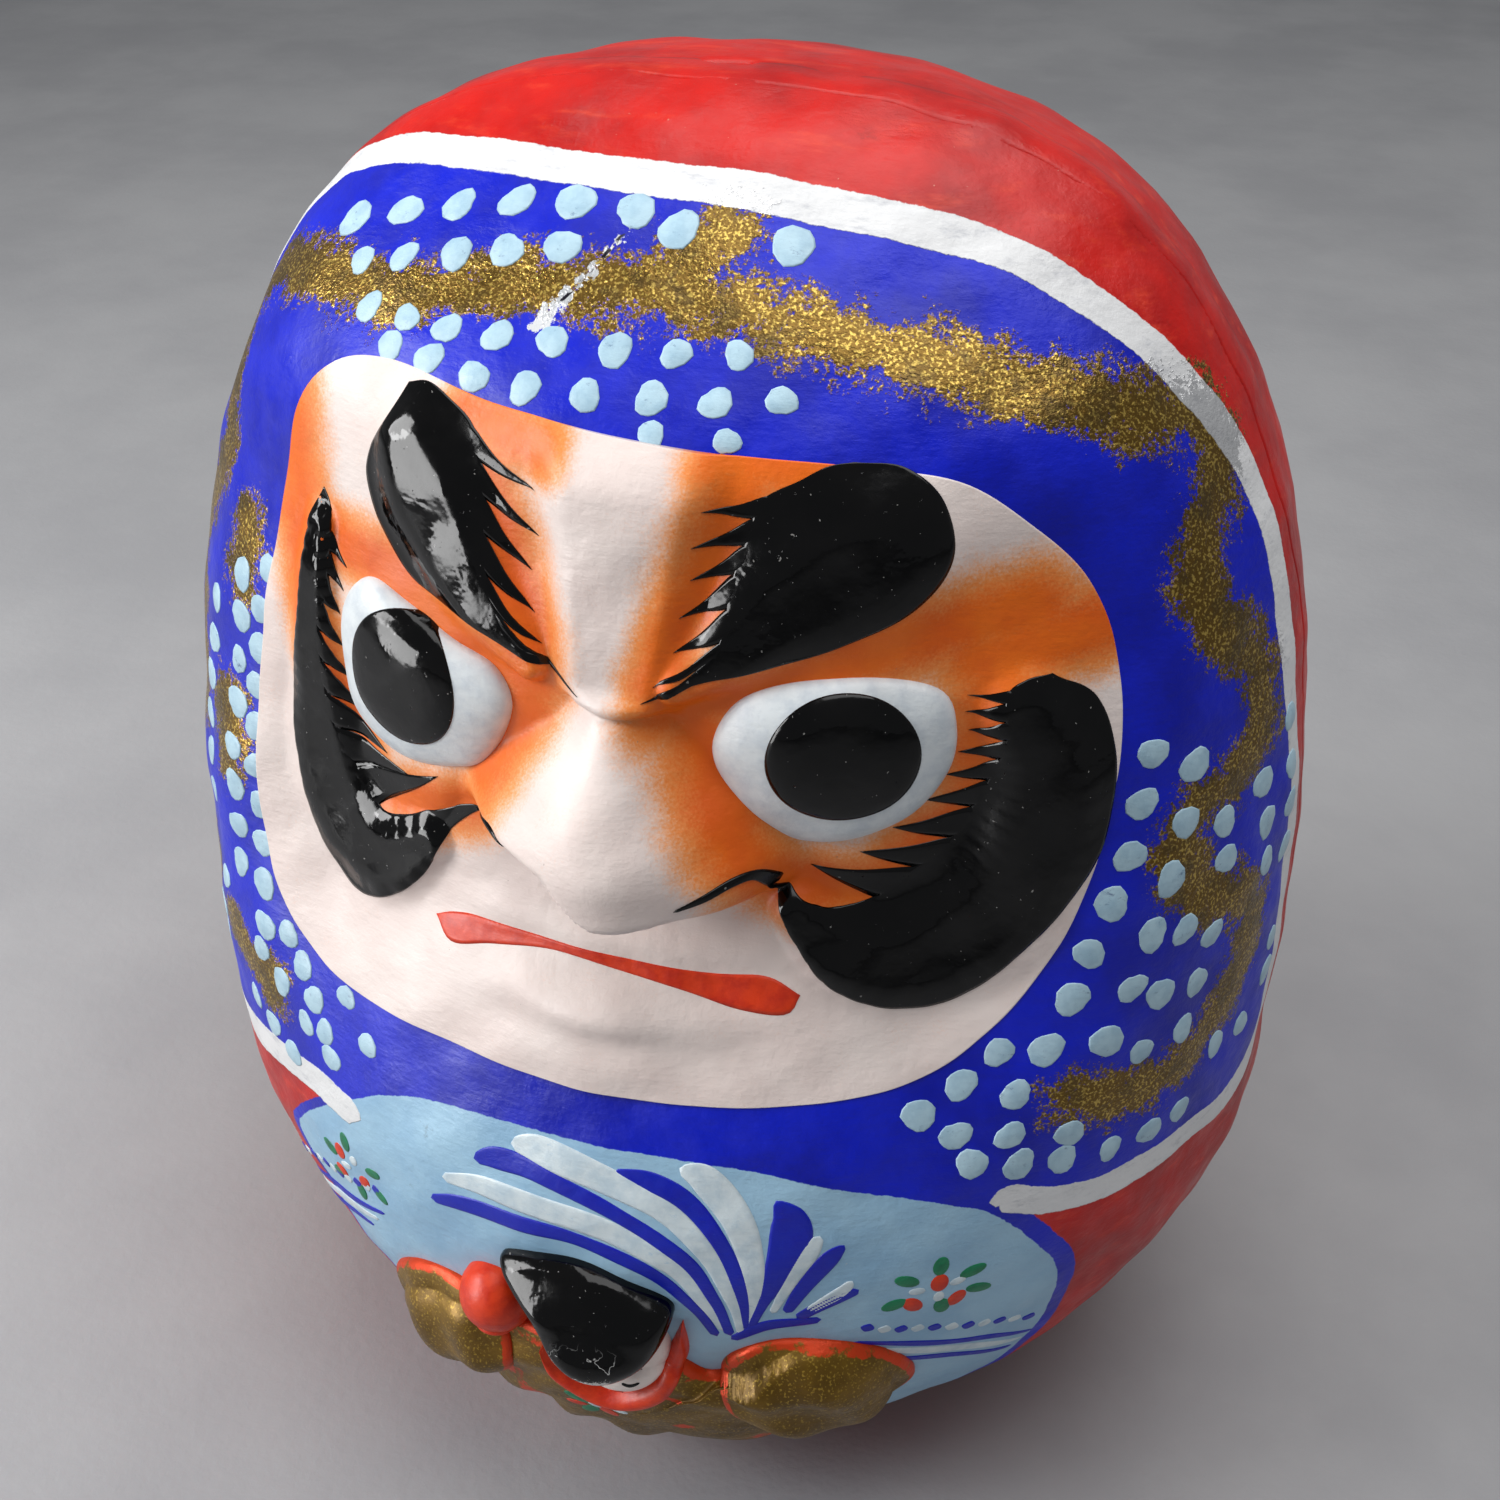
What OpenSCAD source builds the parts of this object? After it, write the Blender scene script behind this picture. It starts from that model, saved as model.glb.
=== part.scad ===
// Large papier-mache daruma doll with a hooded face and a lucky-god figure on its belly.
// Millimetres, +Z up, the face looks along -Y, +X is the doll's own left side.
// The origin is the centre of the flat foot.

/* [Body] */
// Overall height
body_h = 450; // [420:5:480]
// Widest width, side to side
body_w = 372; // [350:2:390]
// Depth of the belly in front of the side seam
front_d = 160; // [150:1:170]
// Depth of the back behind the side seam
back_d = 183; // [170:1:195]
// Size of the flat foot as a share of the widest size
foot_share = 0.46; // [0.42:0.01:0.5]
// Thickness of the papier-mache wall
wall = 4; // [3:0.5:6]

/* [Moulded face] */
// How far the brim of the hood stands out over the forehead
brim_h = 9; // [4:1:14]
// Height of the middle of the brim
brim_z = 384; // [376:1:390]
// How deep the face is set back below the brim
recess_h = 27; // [15:1:30]
// Height of the deepest part of the face
recess_z = 255; // [246:1:262]
// Swell of the lips under the nose
lip_h = 5; // [2:1:8]

/* [Pads on the face] */
// Distance of each eye from the middle
eye_x = 58; // [56:1:60]
// Height of the eyes
eye_z = 308; // [305:1:310]
// How far an eye bulges
eye_h = 9; // [5:1:12]
// How far a brow stands up
brow_h = 9; // [5:1:12]
// How far a bearded cheek stands up
cheek_h = 8; // [5:1:11]
// How far the tip of the nose stands out
nose_h = 34; // [26:1:38]

/* [Figure on the belly] */
// Height of the middle of the robe
robe_z = 76; // [72:1:80]
// Thickness of the robe relief
robe_h = 9; // [6:1:14]
// Distance of the figure's head from the middle of the belly
head_x = 8; // [4:1:10]
// Height where the cap meets the face
cap_z = 120; // [118:1:123]

/* [Foot and weight] */
// Thickness of the paper glued under the foot
foot_paper_t = 1; // [0.5:0.5:2]
// Radius of the round board above it
board_r = 72; // [66:1:73]
// Thickness of the board
board_t = 6; // [4:1:9]
// Height of the clay weight
clay_h = 26; // [20:1:34]

/* [Hidden] */

half_w = body_w / 2;
wide_z = 142;        // height of the widest place seen from the front
belly_z = 145;       // height of the most forward place
back_z = 193;        // height of the rearmost place
plan_n = 1.9;        // plan roundness of the front, 2 is a true ellipse
glue = 0.25;         // glue line under a pressed-on pad
edge_t = 1;          // thickness of a pad at its rim
half_steps = 36;     // columns round the front half of the shell
back_steps = 24;     // columns round the back half
rise_steps = 42;     // rows from the foot to the crown
pad_turns = 26;      // columns round a pad
pad_rings = 5;       // rings from a pad's middle to its rim
tape_w = 16;         // width of the paper strip over the seam
tape_t = 0.6;        // its thickness

// ---- the moulded surface -------------------------------------------------

// Share of the full size at height z: widest at zw, rounded by p above it and by q below it.
function share(z, zw, p, q) =
    z >= zw ? pow(1 - pow((z - zw) / (body_h - zw), p), 1 / p)
            : foot_share + (1 - foot_share) * pow(1 - pow((zw - z) / zw, q), 1 / q);
function side_at(z) = half_w * share(z, wide_z, 2.8, 1.65);
function belly_at(z) = front_d * share(z, belly_z, 1.75, 1.95);
function rear_at(z) = back_d * share(z, back_z, 2.45, 2);

// 0 below a, 1 above b, an easy curve between them.
function ease(a, b, v) = let (t = max(0, min(1, (v - a) / (b - a)))) t * t * (3 - 2 * t);
function hump(v, mid, width) = exp(-pow((v - mid) / width, 2));

// Brim, set-back face and lips of the carved former, added towards -Y.
function relief(x, z) =
    brim_h * hump(z, brim_z, 26) * (1 - ease(100, 175, abs(x)))
    - recess_h * hump(z, recess_z, 66) * (1 - ease(85, 150, abs(x)))
    + lip_h * hump(z, 226, 9) * hump(x, 0, 34);

// Surface of the front half seen from the front: y at a place x, z.
function front_y(x, z) =
    let (u = pow(max(0, 1 - pow(abs(x) / side_at(z), plan_n)), 1 / plan_n))
    -belly_at(z) * u - relief(x, z) * ease(0.05, 0.5, u);

// One point of the shell at angle th from the middle of the front (0) or back (180).
function front_pt(th, z) =
    let (r = pow(pow(abs(sin(th)), plan_n) + pow(cos(th), plan_n), -1 / plan_n),
         x = side_at(z) * r * sin(th))
    [x, abs(th) > 89.9 ? 0 : front_y(x, z), z];
function back_pt(th, z) = [side_at(z) * sin(th), abs(th) > 89.9 ? 0 : rear_at(z) * cos(th), z];

// ---- closed skins --------------------------------------------------------

// Rows crowd together towards the foot and the crown, where the shell turns fastest.
function row_z(i) = foot_paper_t + (body_h - foot_paper_t) * (1 - cos(180 * i / rise_steps)) / 2;
// The inner face is the outer one drawn in towards the middle of the foot.
function inward(p) = [p.x * (1 - wall / half_w), p.y * (1 - wall / half_w),
                      foot_paper_t + (p.z - foot_paper_t) * (1 - wall / body_h)];

// Half a shell from its outer rows, each a list of points from one seam edge to the other.
module half_shell(rows, cols) {
    n = len(rows);
    w = cols + 1;
    outer = [for (row = rows) each row];
    inner = [for (p = outer) inward(p)];
    crown = [0, 0, body_h];
    top = 2 * n * w;                              // index of the outer crown point
    function o(i, j) = i * w + j;
    function k(i, j) = n * w + i * w + j;
    faces = concat(
        [for (i = [0:n - 2], j = [0:cols - 1]) each
            [[o(i, j), o(i + 1, j), o(i + 1, j + 1)], [o(i, j), o(i + 1, j + 1), o(i, j + 1)]]],
        [for (i = [0:n - 2], j = [0:cols - 1]) each
            [[k(i, j), k(i + 1, j + 1), k(i + 1, j)], [k(i, j), k(i, j + 1), k(i + 1, j + 1)]]],
        [for (j = [0:cols - 1]) [o(n - 1, j), top, o(n - 1, j + 1)]],
        [for (j = [0:cols - 1]) [k(n - 1, j), k(n - 1, j + 1), top + 1]],
        [for (j = [0:cols - 1]) each [[o(0, j), o(0, j + 1), k(0, j + 1)], [o(0, j), k(0, j + 1), k(0, j)]]],
        [for (i = [0:n - 2]) each [[o(i, 0), k(i, 0), k(i + 1, 0)], [o(i, 0), k(i + 1, 0), o(i + 1, 0)]]],
        [for (i = [0:n - 2]) each [[o(i, cols), k(i + 1, cols), k(i, cols)],
                                   [o(i, cols), o(i + 1, cols), k(i + 1, cols)]]],
        [[o(n - 1, 0), k(n - 1, 0), top + 1], [o(n - 1, 0), top + 1, top],
         [o(n - 1, cols), top + 1, k(n - 1, cols)], [o(n - 1, cols), top, top + 1]]);
    polyhedron(concat(outer, inner, [crown, inward(crown)]), faces, convexity = 6);
}

// A pad pressed on the front. outline(a) gives the rim point [x, z] at angle a, lift(x, z)
// its thickness there, and bed(x, z) the surface that it lies on.
module pad(middle, outline, lift, bed = function (x, z) front_y(x, z)) {
    ring = function (s, a) middle + s * (outline(a) - middle);
    flat_pts = concat([middle], [for (i = [1:pad_rings], j = [0:pad_turns - 1])
        ring(sin(90 * i / pad_rings), 360 * j / pad_turns)]);
    n = len(flat_pts);
    top = [for (p = flat_pts) [p.x, bed(p.x, p.y) - glue - max(edge_t, lift(p.x, p.y)), p.y]];
    under = [for (p = flat_pts) [p.x, bed(p.x, p.y) - glue, p.y]];
    function at(i, j) = 1 + (i - 1) * pad_turns + j % pad_turns;
    upper = concat(
        [for (j = [0:pad_turns - 1]) [0, at(1, j + 1), at(1, j)]],
        [for (i = [1:pad_rings - 1], j = [0:pad_turns - 1]) each
            [[at(i, j), at(i, j + 1), at(i + 1, j + 1)], [at(i, j), at(i + 1, j + 1), at(i + 1, j)]]]);
    lower = [for (f = upper) [f[0] + n, f[2] + n, f[1] + n]];
    rim = [for (j = [0:pad_turns - 1]) each
        [[at(pad_rings, j), at(pad_rings, j + 1), at(pad_rings, j + 1) + n],
         [at(pad_rings, j), at(pad_rings, j + 1) + n, at(pad_rings, j) + n]]];
    polyhedron(concat(top, under), concat(upper, lower, rim), convexity = 6);
}

// Egg outline: centre c, half length len, half width wid, long axis turned by tilt,
// taper makes the far end fatter, bend bows it sideways.
function egg(c, len, wid, tilt, taper, bend, a) =
    let (s = len * cos(a), t = wid * sin(a) * (1 + taper * cos(a)) + bend * (1 - pow(cos(a), 2)) )
    c + [s * cos(tilt) - t * sin(tilt), s * sin(tilt) + t * cos(tilt)];
// Distance from c as a share of the rim of that egg, 1 on the rim.
function egg_share(c, len, wid, tilt, taper, bend, x, z) =
    let (s = ((x - c.x) * cos(tilt) + (z - c.y) * sin(tilt)) / len,
         t = -(x - c.x) * sin(tilt) + (z - c.y) * cos(tilt) - bend * (1 - min(1, s * s)),
         v = t / (wid * (1 + taper * s)))
    sqrt(s * s + v * v);
// A pillow: full height in the middle, rounded down to the rim.
function pillow(h, d) = h * sqrt(max(0, 1 - pow(min(1, d), 2.2)));

// ---- shells and foot -----------------------------------------------------

module shell_front() {
    rows = [for (i = [0:rise_steps - 1])
        [for (j = [0:half_steps]) front_pt(-90 + 180 * j / half_steps, row_z(i))]];
    color("firebrick") half_shell(rows, half_steps);
}

module shell_back() {
    rows = [for (i = [0:rise_steps - 1])
        [for (j = [0:back_steps]) back_pt(90 - 180 * j / back_steps, row_z(i))]];
    color("brown") half_shell(rows, back_steps);
}

// Paper strip pasted over the seam, from the foot over the crown to the foot again.
module seam_tape() {
    climb = [for (i = [2:rise_steps - 1]) [side_at(row_z(i)), row_z(i)]];
    path = concat(climb, [[0, body_h]],
                  [for (i = [len(climb) - 1:-1:0]) [-climb[i].x, climb[i].y]]);
    last = len(path) - 1;
    // Outward direction at path point i, square to its two neighbours.
    function out(i) =
        let (a = path[max(0, i - 1)], b = path[min(last, i + 1)], d = (b - a) / norm(b - a))
        [d.y, -d.x];
    function corner(i, side, rise) =
        let (q = path[i] + out(i) * (rise - abs(side) * 0.2)) [q.x, side * tape_w / 2, q.y];
    loop = [[-1, glue + tape_t], [0, glue + tape_t], [1, glue + tape_t],
            [1, glue], [0, glue], [-1, glue]];
    n = len(loop);
    pts = [for (i = [0:last], c = loop) corner(i, c.x, c.y)];
    skin = [for (i = [0:last - 1], j = [0:n - 1]) each
        [[i * n + j, i * n + (j + 1) % n, (i + 1) * n + (j + 1) % n],
         [i * n + j, (i + 1) * n + (j + 1) % n, (i + 1) * n + j]]];
    caps = [[for (j = [n - 1:-1:0]) j], [for (j = [0:n - 1]) last * n + j]];
    color("indianred") polyhedron(pts, concat(skin, caps), convexity = 6);
}

// Flat outline of the foot, the same curve as the shell's lowest edge.
function foot_outline() = concat(
    [for (j = [0:half_steps - 1]) let (p = front_pt(-90 + 180 * j / half_steps, foot_paper_t)) [p.x, p.y]],
    [for (j = [0:back_steps - 1]) let (p = back_pt(90 - 180 * j / back_steps, foot_paper_t)) [p.x, p.y]]);

module foot_paper() {
    color("burlywood") linear_extrude(foot_paper_t) polygon(foot_outline());
}

module foot_board() {
    color("tan") translate([0, 0, foot_paper_t]) cylinder(h = board_t, r = board_r, $fn = 64);
}

// Clay rammed on the board, so that the doll rights itself.
module clay_weight() {
    seat = foot_paper_t + board_t;
    color("dimgray") rotate_extrude($fn = 64)
        polygon([[0, seat], [board_r - 2, seat], [board_r + 14, seat + clay_h * 0.7],
                 [board_r + 6, seat + clay_h * 0.9], [0, seat + clay_h]]);
}

// ---- pads on the face ----------------------------------------------------

// Pads come in pairs: side is 1 for the doll's left, -1 for its right.
module egg_pad(middle, c, len, wid, tilt, taper, bend, h) {
    pad(middle,
        function (a) egg(c, len, wid, tilt, taper, bend, a),
        function (x, z) pillow(h, egg_share(c, len, wid, tilt, taper, bend, x, z)));
}

module eye(side) {
    c = [side * eye_x, eye_z];
    color("white") egg_pad(c, c, 31, 26, side * 6, side * 0.12, 0, eye_h);
}

// Fat at the outer end, running down to a point over the nose.
module brow(side) {
    c = [side * 46, 353];
    color("black") egg_pad(c, c, 46, 20, side * 46, side * 0.36, 0, brow_h);
}

// A crescent round the outer corner of the eye, fattest below.
module cheek(side) {
    c = [side * 98, 279];
    color("black") egg_pad(c + [side * 13, -5], c, 56, 19, side * 68, side * -0.25, -15, cheek_h);
}

// Half width of the nose at height z: a narrow bridge that opens into the wings.
function nose_half(z) = 11 + 31 * ease(322, 276, z);
// Height of the nose along its middle: it climbs to the tip and drops away below it.
function nose_rise(z) = nose_h * (0.16 + 0.84 * ease(338, 276, z)) * ease(252, 270, z);
module nose() {
    color("mistyrose") pad([0, 285],
        function (a) let (z = 295 + 45 * sin(a)) [nose_half(z) * cos(a) * (1 + 0.25 * ease(1, 0, abs(sin(a)))), z],
        function (x, z) nose_rise(z) * pow(max(0, cos(90 * min(1, abs(x) / (nose_half(z) * 1.3)))), 1.2));
}

// ---- the figure on the belly --------------------------------------------

robe_c = [8, robe_z];
function robe_lift(x, z) =
    let (d = egg_share(robe_c, 82, 45, 0, 0, 0, x, z))
    d >= 1 ? 0 : robe_h * pow(1 - pow(d, 3), 0.5);
// Surface over the shell and the robe together.
function over_robe(x, z) = front_y(x, z) - robe_lift(x, z) - (robe_lift(x, z) > 0 ? glue : 0);

module figure_robe() {
    color("darkgoldenrod") pad(robe_c,
        function (a) egg(robe_c, 82, 45, 0, 0, 0, a),
        function (x, z) robe_lift(x, z));
}

module figure_sleeve(side) {
    c = [side > 0 ? 69 : -54, 98];
    color("goldenrod") pad(c,
        function (a) egg(c, 29, 23, side * -24, 0, 0, a),
        function (x, z) pillow(7, egg_share(c, 29, 23, side * -24, 0, 0, x, z)),
        function (x, z) over_robe(x, z));
}

// Outline of a round of radius rx, rz round c, cut off level at height cut.
function cut_round(c, rx, rz, cut, above, a) =
    let (p = c + [rx * cos(a), rz * sin(a)]) [p.x, above ? max(cut, p.y) : min(cut, p.y)];

head_c = [head_x, cap_z - 11];
module figure_head() {
    color("white") pad(head_c - [0, 3],
        function (a) cut_round(head_c, 17, 17, cap_z - 0.4, false, a),
        function (x, z) 3 + 9 * sqrt(max(0, 1 - pow(norm([x, z] - head_c) / 18, 2))),
        function (x, z) over_robe(x, z));
}

cap_c = [head_x - 4, cap_z + 12];
module figure_cap() {
    color("black") pad(cap_c,
        function (a) cut_round(cap_c, 27, 19, cap_z, true, a),
        function (x, z) 4 + 13 * sqrt(max(0, 1 - pow((x - cap_c.x) / 28, 2) - pow((z - cap_c.y) / 20, 2))),
        function (x, z) over_robe(x, z));
}

// Red collar: a crescent under the chin.
module figure_collar() {
    c = [head_x + 2, cap_z - 31];
    color("orangered") pad(c,
        function (a) egg(c, 22, 5, 0, 0, -3, a),
        function (x, z) pillow(6, egg_share(c, 22, 5, 0, 0, -3, x, z)),
        function (x, z) over_robe(x, z));
}

module figure_mallet() {
    c = [-31, 121];
    color("orangered") pad(c,
        function (a) c + [10.5 * cos(a), 13 * sin(a)],
        function (x, z) 3 + 9 * sqrt(max(0, 1 - pow(norm([(x - c.x) / 11.5, (z - c.y) / 14]), 2))),
        function (x, z) over_robe(x, z));
}

module eye_left() { eye(1); }
module eye_right() { eye(-1); }
module brow_left() { brow(1); }
module brow_right() { brow(-1); }
module cheek_left() { cheek(1); }
module cheek_right() { cheek(-1); }
module figure_sleeve_left() { figure_sleeve(1); }
module figure_sleeve_right() { figure_sleeve(-1); }

shell_front();
shell_back();
seam_tape();
foot_paper();
foot_board();
clay_weight();
nose();
eye_left();
eye_right();
brow_left();
brow_right();
cheek_left();
cheek_right();
figure_robe();
figure_head();
figure_cap();
figure_collar();
figure_mallet();
figure_sleeve_left();
figure_sleeve_right();
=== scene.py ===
# %% [markdown]
# # A painted papier-mache daruma
# The real doll starts as paper pulp pasted over a carved wooden former. The dry shell is cut
# down both sides, lifted off, glued shut with a strip of paper, weighted with clay, coated
# with chalk and painted. Here the same order is kept: two shells, the strip, the chalk face
# with its pressed-on eyes and brows, then every stroke of paint as its own thin coat.
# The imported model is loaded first. It fixes every size and place, so the looks are built
# around it instead of being fitted to it afterwards.

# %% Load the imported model
import math
import bpy
import numpy as np
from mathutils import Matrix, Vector


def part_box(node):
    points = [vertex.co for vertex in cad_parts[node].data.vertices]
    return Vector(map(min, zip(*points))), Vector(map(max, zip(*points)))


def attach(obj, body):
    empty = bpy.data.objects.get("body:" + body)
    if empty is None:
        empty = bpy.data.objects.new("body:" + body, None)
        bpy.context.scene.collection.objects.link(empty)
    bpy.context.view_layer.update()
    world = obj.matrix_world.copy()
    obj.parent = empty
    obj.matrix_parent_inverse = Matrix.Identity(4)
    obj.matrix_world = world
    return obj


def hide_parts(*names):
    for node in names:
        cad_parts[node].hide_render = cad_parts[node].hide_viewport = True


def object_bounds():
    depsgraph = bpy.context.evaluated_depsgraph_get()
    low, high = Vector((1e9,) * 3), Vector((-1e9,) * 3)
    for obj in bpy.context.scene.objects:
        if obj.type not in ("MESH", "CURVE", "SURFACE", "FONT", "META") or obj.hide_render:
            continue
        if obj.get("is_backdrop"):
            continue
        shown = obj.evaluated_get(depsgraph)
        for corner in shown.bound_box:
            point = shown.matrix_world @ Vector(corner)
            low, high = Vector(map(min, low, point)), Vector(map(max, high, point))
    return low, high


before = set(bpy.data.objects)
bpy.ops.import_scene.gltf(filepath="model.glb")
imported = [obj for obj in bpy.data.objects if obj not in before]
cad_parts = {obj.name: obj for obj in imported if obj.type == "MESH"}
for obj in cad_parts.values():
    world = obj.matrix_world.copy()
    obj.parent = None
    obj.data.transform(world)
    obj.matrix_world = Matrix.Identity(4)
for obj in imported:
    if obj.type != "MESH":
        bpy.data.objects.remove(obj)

cad_low, cad_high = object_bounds()
print("model box in metres:", tuple(cad_low), tuple(cad_high))

# %% [markdown]
# ## Camera
# The doll is seen from above and a little to its own left. A camera could be placed by
# three coordinates, but an angle round the doll, a height angle and a distance say more, and
# the aim point stays at half the doll's height when the model changes.

# %% Camera
azimuth = math.radians(17)
elevation = math.radians(35.2)
distance = 0.622
half_height = (cad_low.z + cad_high.z) / 2
backward = Vector((math.sin(azimuth) * math.cos(elevation),
                   -math.cos(azimuth) * math.cos(elevation), math.sin(elevation)))
sideways = Vector((math.cos(azimuth), math.sin(azimuth), 0))
aim_up = 0.001
aim_side = 0.0042
aim = Vector((0, 0, half_height + aim_up)) + aim_side * sideways
camera = bpy.data.objects.new("camera", bpy.data.cameras.new("camera"))
bpy.context.scene.collection.objects.link(camera)
camera.data.lens = 43.9
camera.data.sensor_width = 36
camera.location = aim + backward * distance
camera.rotation_euler = (-backward).to_track_quat("-Z", "Y").to_euler()
bpy.context.scene.camera = camera
print("camera stands at", tuple(round(v, 3) for v in camera.location))

# %% [markdown]
# ## The moulded surface as a formula
# Everything on the doll lies on one surface, so that surface is worth a formula. Sculpting
# would give a lovelier lump, but then no stroke of paint could be told where to lie. The plan
# at each height is a rounded oval, and three profiles say how wide and how deep it is. All
# lengths are in millimetres until the moment a mesh is made.

# %% Profiles of the shell
body_h = cad_high.z * 1000
half_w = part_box("shell_front")[1].x * 1000
front_d = 160          # depth in front of the seam, without the relief
back_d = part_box("shell_back")[1].y * 1000
foot_share = 0.46      # size of the foot as a share of the widest place
wall = 4               # thickness of the pulp
foot_paper_t = 1       # thickness of the paper under the foot
plan_n = 1.9           # roundness of the plan's front, 2 would be a true oval
# widest height of each profile, and its roundness above and below that height
side_profile = (142, 2.8, 1.65)
front_profile = (145, 1.75, 1.95)
back_profile = (193, 2.45, 2)


def share(z, widest, above, below):
    """Share of the full size at height z: one at the widest height, and on either side
    the root of one minus the relative height raised to the same power."""
    up = np.clip((z - widest) / (body_h - widest), 0, 1)
    down = np.clip((widest - z) / widest, 0, 1)
    upper = (1 - up ** above) ** (1 / above)
    lower = foot_share + (1 - foot_share) * (1 - down ** below) ** (1 / below)
    return np.where(z >= widest, upper, lower)


def side_at(z):
    """Half width of the doll at height z."""
    return half_w * share(z, *side_profile)


def ease(a, b, v):
    """Nought below a, one above b, and three t squared minus two t cubed between."""
    t = np.clip((v - a) / (b - a), 0, 1)
    return t * t * (3 - 2 * t)


def hump(v, middle, width):
    """A bell curve: e to the minus square of the distance from the middle in widths."""
    return np.exp(-((v - middle) / width) ** 2)


def relief(x, z):
    """Brim above the face, the set-back face and the lips, added towards the front."""
    brim = 9 * hump(z, 384, 26) * (1 - ease(100, 175, abs(x)))
    face = 27 * hump(z, 255, 66) * (1 - ease(85, 150, abs(x)))
    return brim - face + 5 * hump(z, 226, 9) * hump(x, 0, 34)


print("half width, front and back:", half_w, front_d, round(back_d, 1))

# %% [markdown]
# ## Points and normals
# The front is given by an angle from its middle and a height. A coat of paint needs the
# direction that points away from the shell too. It could be worked out on paper, but two
# small steps across the surface and their cross product give it for any formula. Hand-pasted
# paper is never even, so long, faint waves are added to the surface itself: a bump in a
# material would be missing from the shape.

# %% Surface of the shell
rng = np.random.default_rng(7)
wave_way = rng.normal(size=(3, 14))
wave_way /= np.linalg.norm(wave_way, axis=0)
wave_way *= 2 * np.pi / rng.uniform(16, 60, 14)
wave_start = rng.uniform(0, 2 * np.pi, 14)
wave_height = 0.13


def lumps(p):
    """Unevenness of pasted paper at point p: a sum of faint sine waves in all directions."""
    return wave_height * np.sin(p @ wave_way + wave_start).sum(-1)


def front(theta, z, raised=None):
    """Front half. The plan is an oval of power plan_n, the depth is its cosine side, and
    the relief fades out towards the seam. raised(x, z) is added towards the front."""
    z = np.clip(z, 0.5, body_h)
    s = np.sin(theta)
    c = np.cos(theta)
    r = (abs(s) ** plan_n + abs(c) ** plan_n) ** (-1 / plan_n)
    x = side_at(z) * r * s
    depth = front_d * share(z, *front_profile)
    y = -depth * r * c - relief(x, z) * ease(0.05, 0.5, r * c)
    if raised is not None:
        y = y - raised(x, z)
    return np.stack([x, y, z + 0 * x], -1)


def back(theta, z, raised=None):
    """Back half: an oval plan whose angle runs on from the front, 90 to 270 degrees."""
    z = np.clip(z, 0.5, body_h)
    y = -back_d * share(z, *back_profile) * np.cos(theta)
    return np.stack([side_at(z) * np.sin(theta), y, z + 0 * y], -1)


def skin(theta, z, lift=0.0, raised=None, half=front):
    """Surface point plus its outward normal times lift and lumps. The normal is the
    cross product of a small step round and a small step up."""
    theta, z = np.broadcast_arrays(np.asarray(theta, float), np.asarray(z, float))
    t = np.arccos(np.clip(1 - 2 * z / body_h, -1, 1)) / np.pi
    t_in = np.clip(t, 0.04, 0.985)
    rise = [body_h * (1 - np.cos(np.pi * (t_in + step))) / 2 for step in (-0.002, 0.002)]
    across = half(theta + 0.003, z, raised) - half(theta - 0.003, z, raised)
    upward = half(theta, rise[1], raised) - half(theta, rise[0], raised)
    normal = np.cross(across, upward)
    normal /= np.maximum(np.linalg.norm(normal, axis=-1, keepdims=True), 1e-9)
    p = half(theta, z, raised)
    calm = 1 - ease(0.97, 0.995, t)
    return p + normal * (lift + lumps(p) * calm)[..., None]


def theta_at(x, z):
    """Angle of the front point at x: the arc tangent of its two oval shares."""
    q = np.clip((abs(x) / side_at(z)) ** plan_n, 0, 0.9999)
    return np.sign(x) * np.arctan((q / (1 - q)) ** (1 / plan_n))


print("middle of the belly:", skin(0.0, 145.0).round(1))

# %% [markdown]
# ## From grids to closed meshes
# Each piece is a top grid and an under grid of points, joined round their border, so every
# coat of paint is a real closed sheet with a thickness. Modifiers such as Solidify could add
# the wall, but an own under grid can be sunk into what it lies on. Grid ends that shrink to
# one point are merged, which turns squares into triangles and leaves no open pole.

# %% Mesh tools
def grid_faces(rows, cols, wrap):
    """Squares of a grid: each joins a point to its neighbours on the next row and column."""
    i = np.arange(rows - 1)[:, None]
    j = np.arange(cols if wrap else cols - 1)[None]
    a = i * cols + j
    b = i * cols + (j + 1) % cols
    return np.stack([a, b, b + cols, a + cols], -1).reshape(-1, 4)


def closed(top, under, wrap=False, **fields):
    """Points, faces and per-point fields of a sheet: top grid, under grid and its border."""
    rows, cols = top.shape[:2]
    count = rows * cols
    place = np.arange(count).reshape(rows, cols)
    faces = [grid_faces(rows, cols, wrap), grid_faces(rows, cols, wrap)[:, ::-1] + count]
    border = [place[-1][::-1], place[0]]
    if wrap:
        border = [np.r_[place[-1], place[-1][:1]][::-1]]
    else:
        border += [place[:, -1], place[:, 0][::-1]]
    for line in border:
        faces.append(np.stack([line[:-1], line[:-1] + count, line[1:] + count, line[1:]], -1))
    points = np.concatenate([top.reshape(-1, 3), under.reshape(-1, 3)])
    both = {name: np.tile(np.ravel(np.broadcast_to(value, (rows, cols))), 2)
            for name, value in fields.items()}
    return points, np.concatenate(faces), both


def joined(parts):
    """Several sheets as one: the points are stacked and the face numbers moved on."""
    points = np.concatenate([part[0] for part in parts])
    starts = np.cumsum([0] + [len(part[0]) for part in parts[:-1]])
    faces = np.concatenate([part[1] + start for part, start in zip(parts, starts)])
    fields = {name: np.concatenate([part[2][name] for part in parts]) for name in parts[0][2]}
    return points, faces, fields


def outward(part):
    """Turns a sheet's faces round if its volume, the sum of the tetrahedra that the faces
    make with the sheet's middle, comes out negative."""
    points, faces, fields = part
    p = points - points.mean(0)
    a, b, c, d = (p[faces[:, k]] for k in range(4))
    volume = (a * np.cross(b, c)).sum() + (a * np.cross(c, d)).sum()
    return (points, faces if volume > 0 else faces[:, ::-1], fields)


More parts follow.
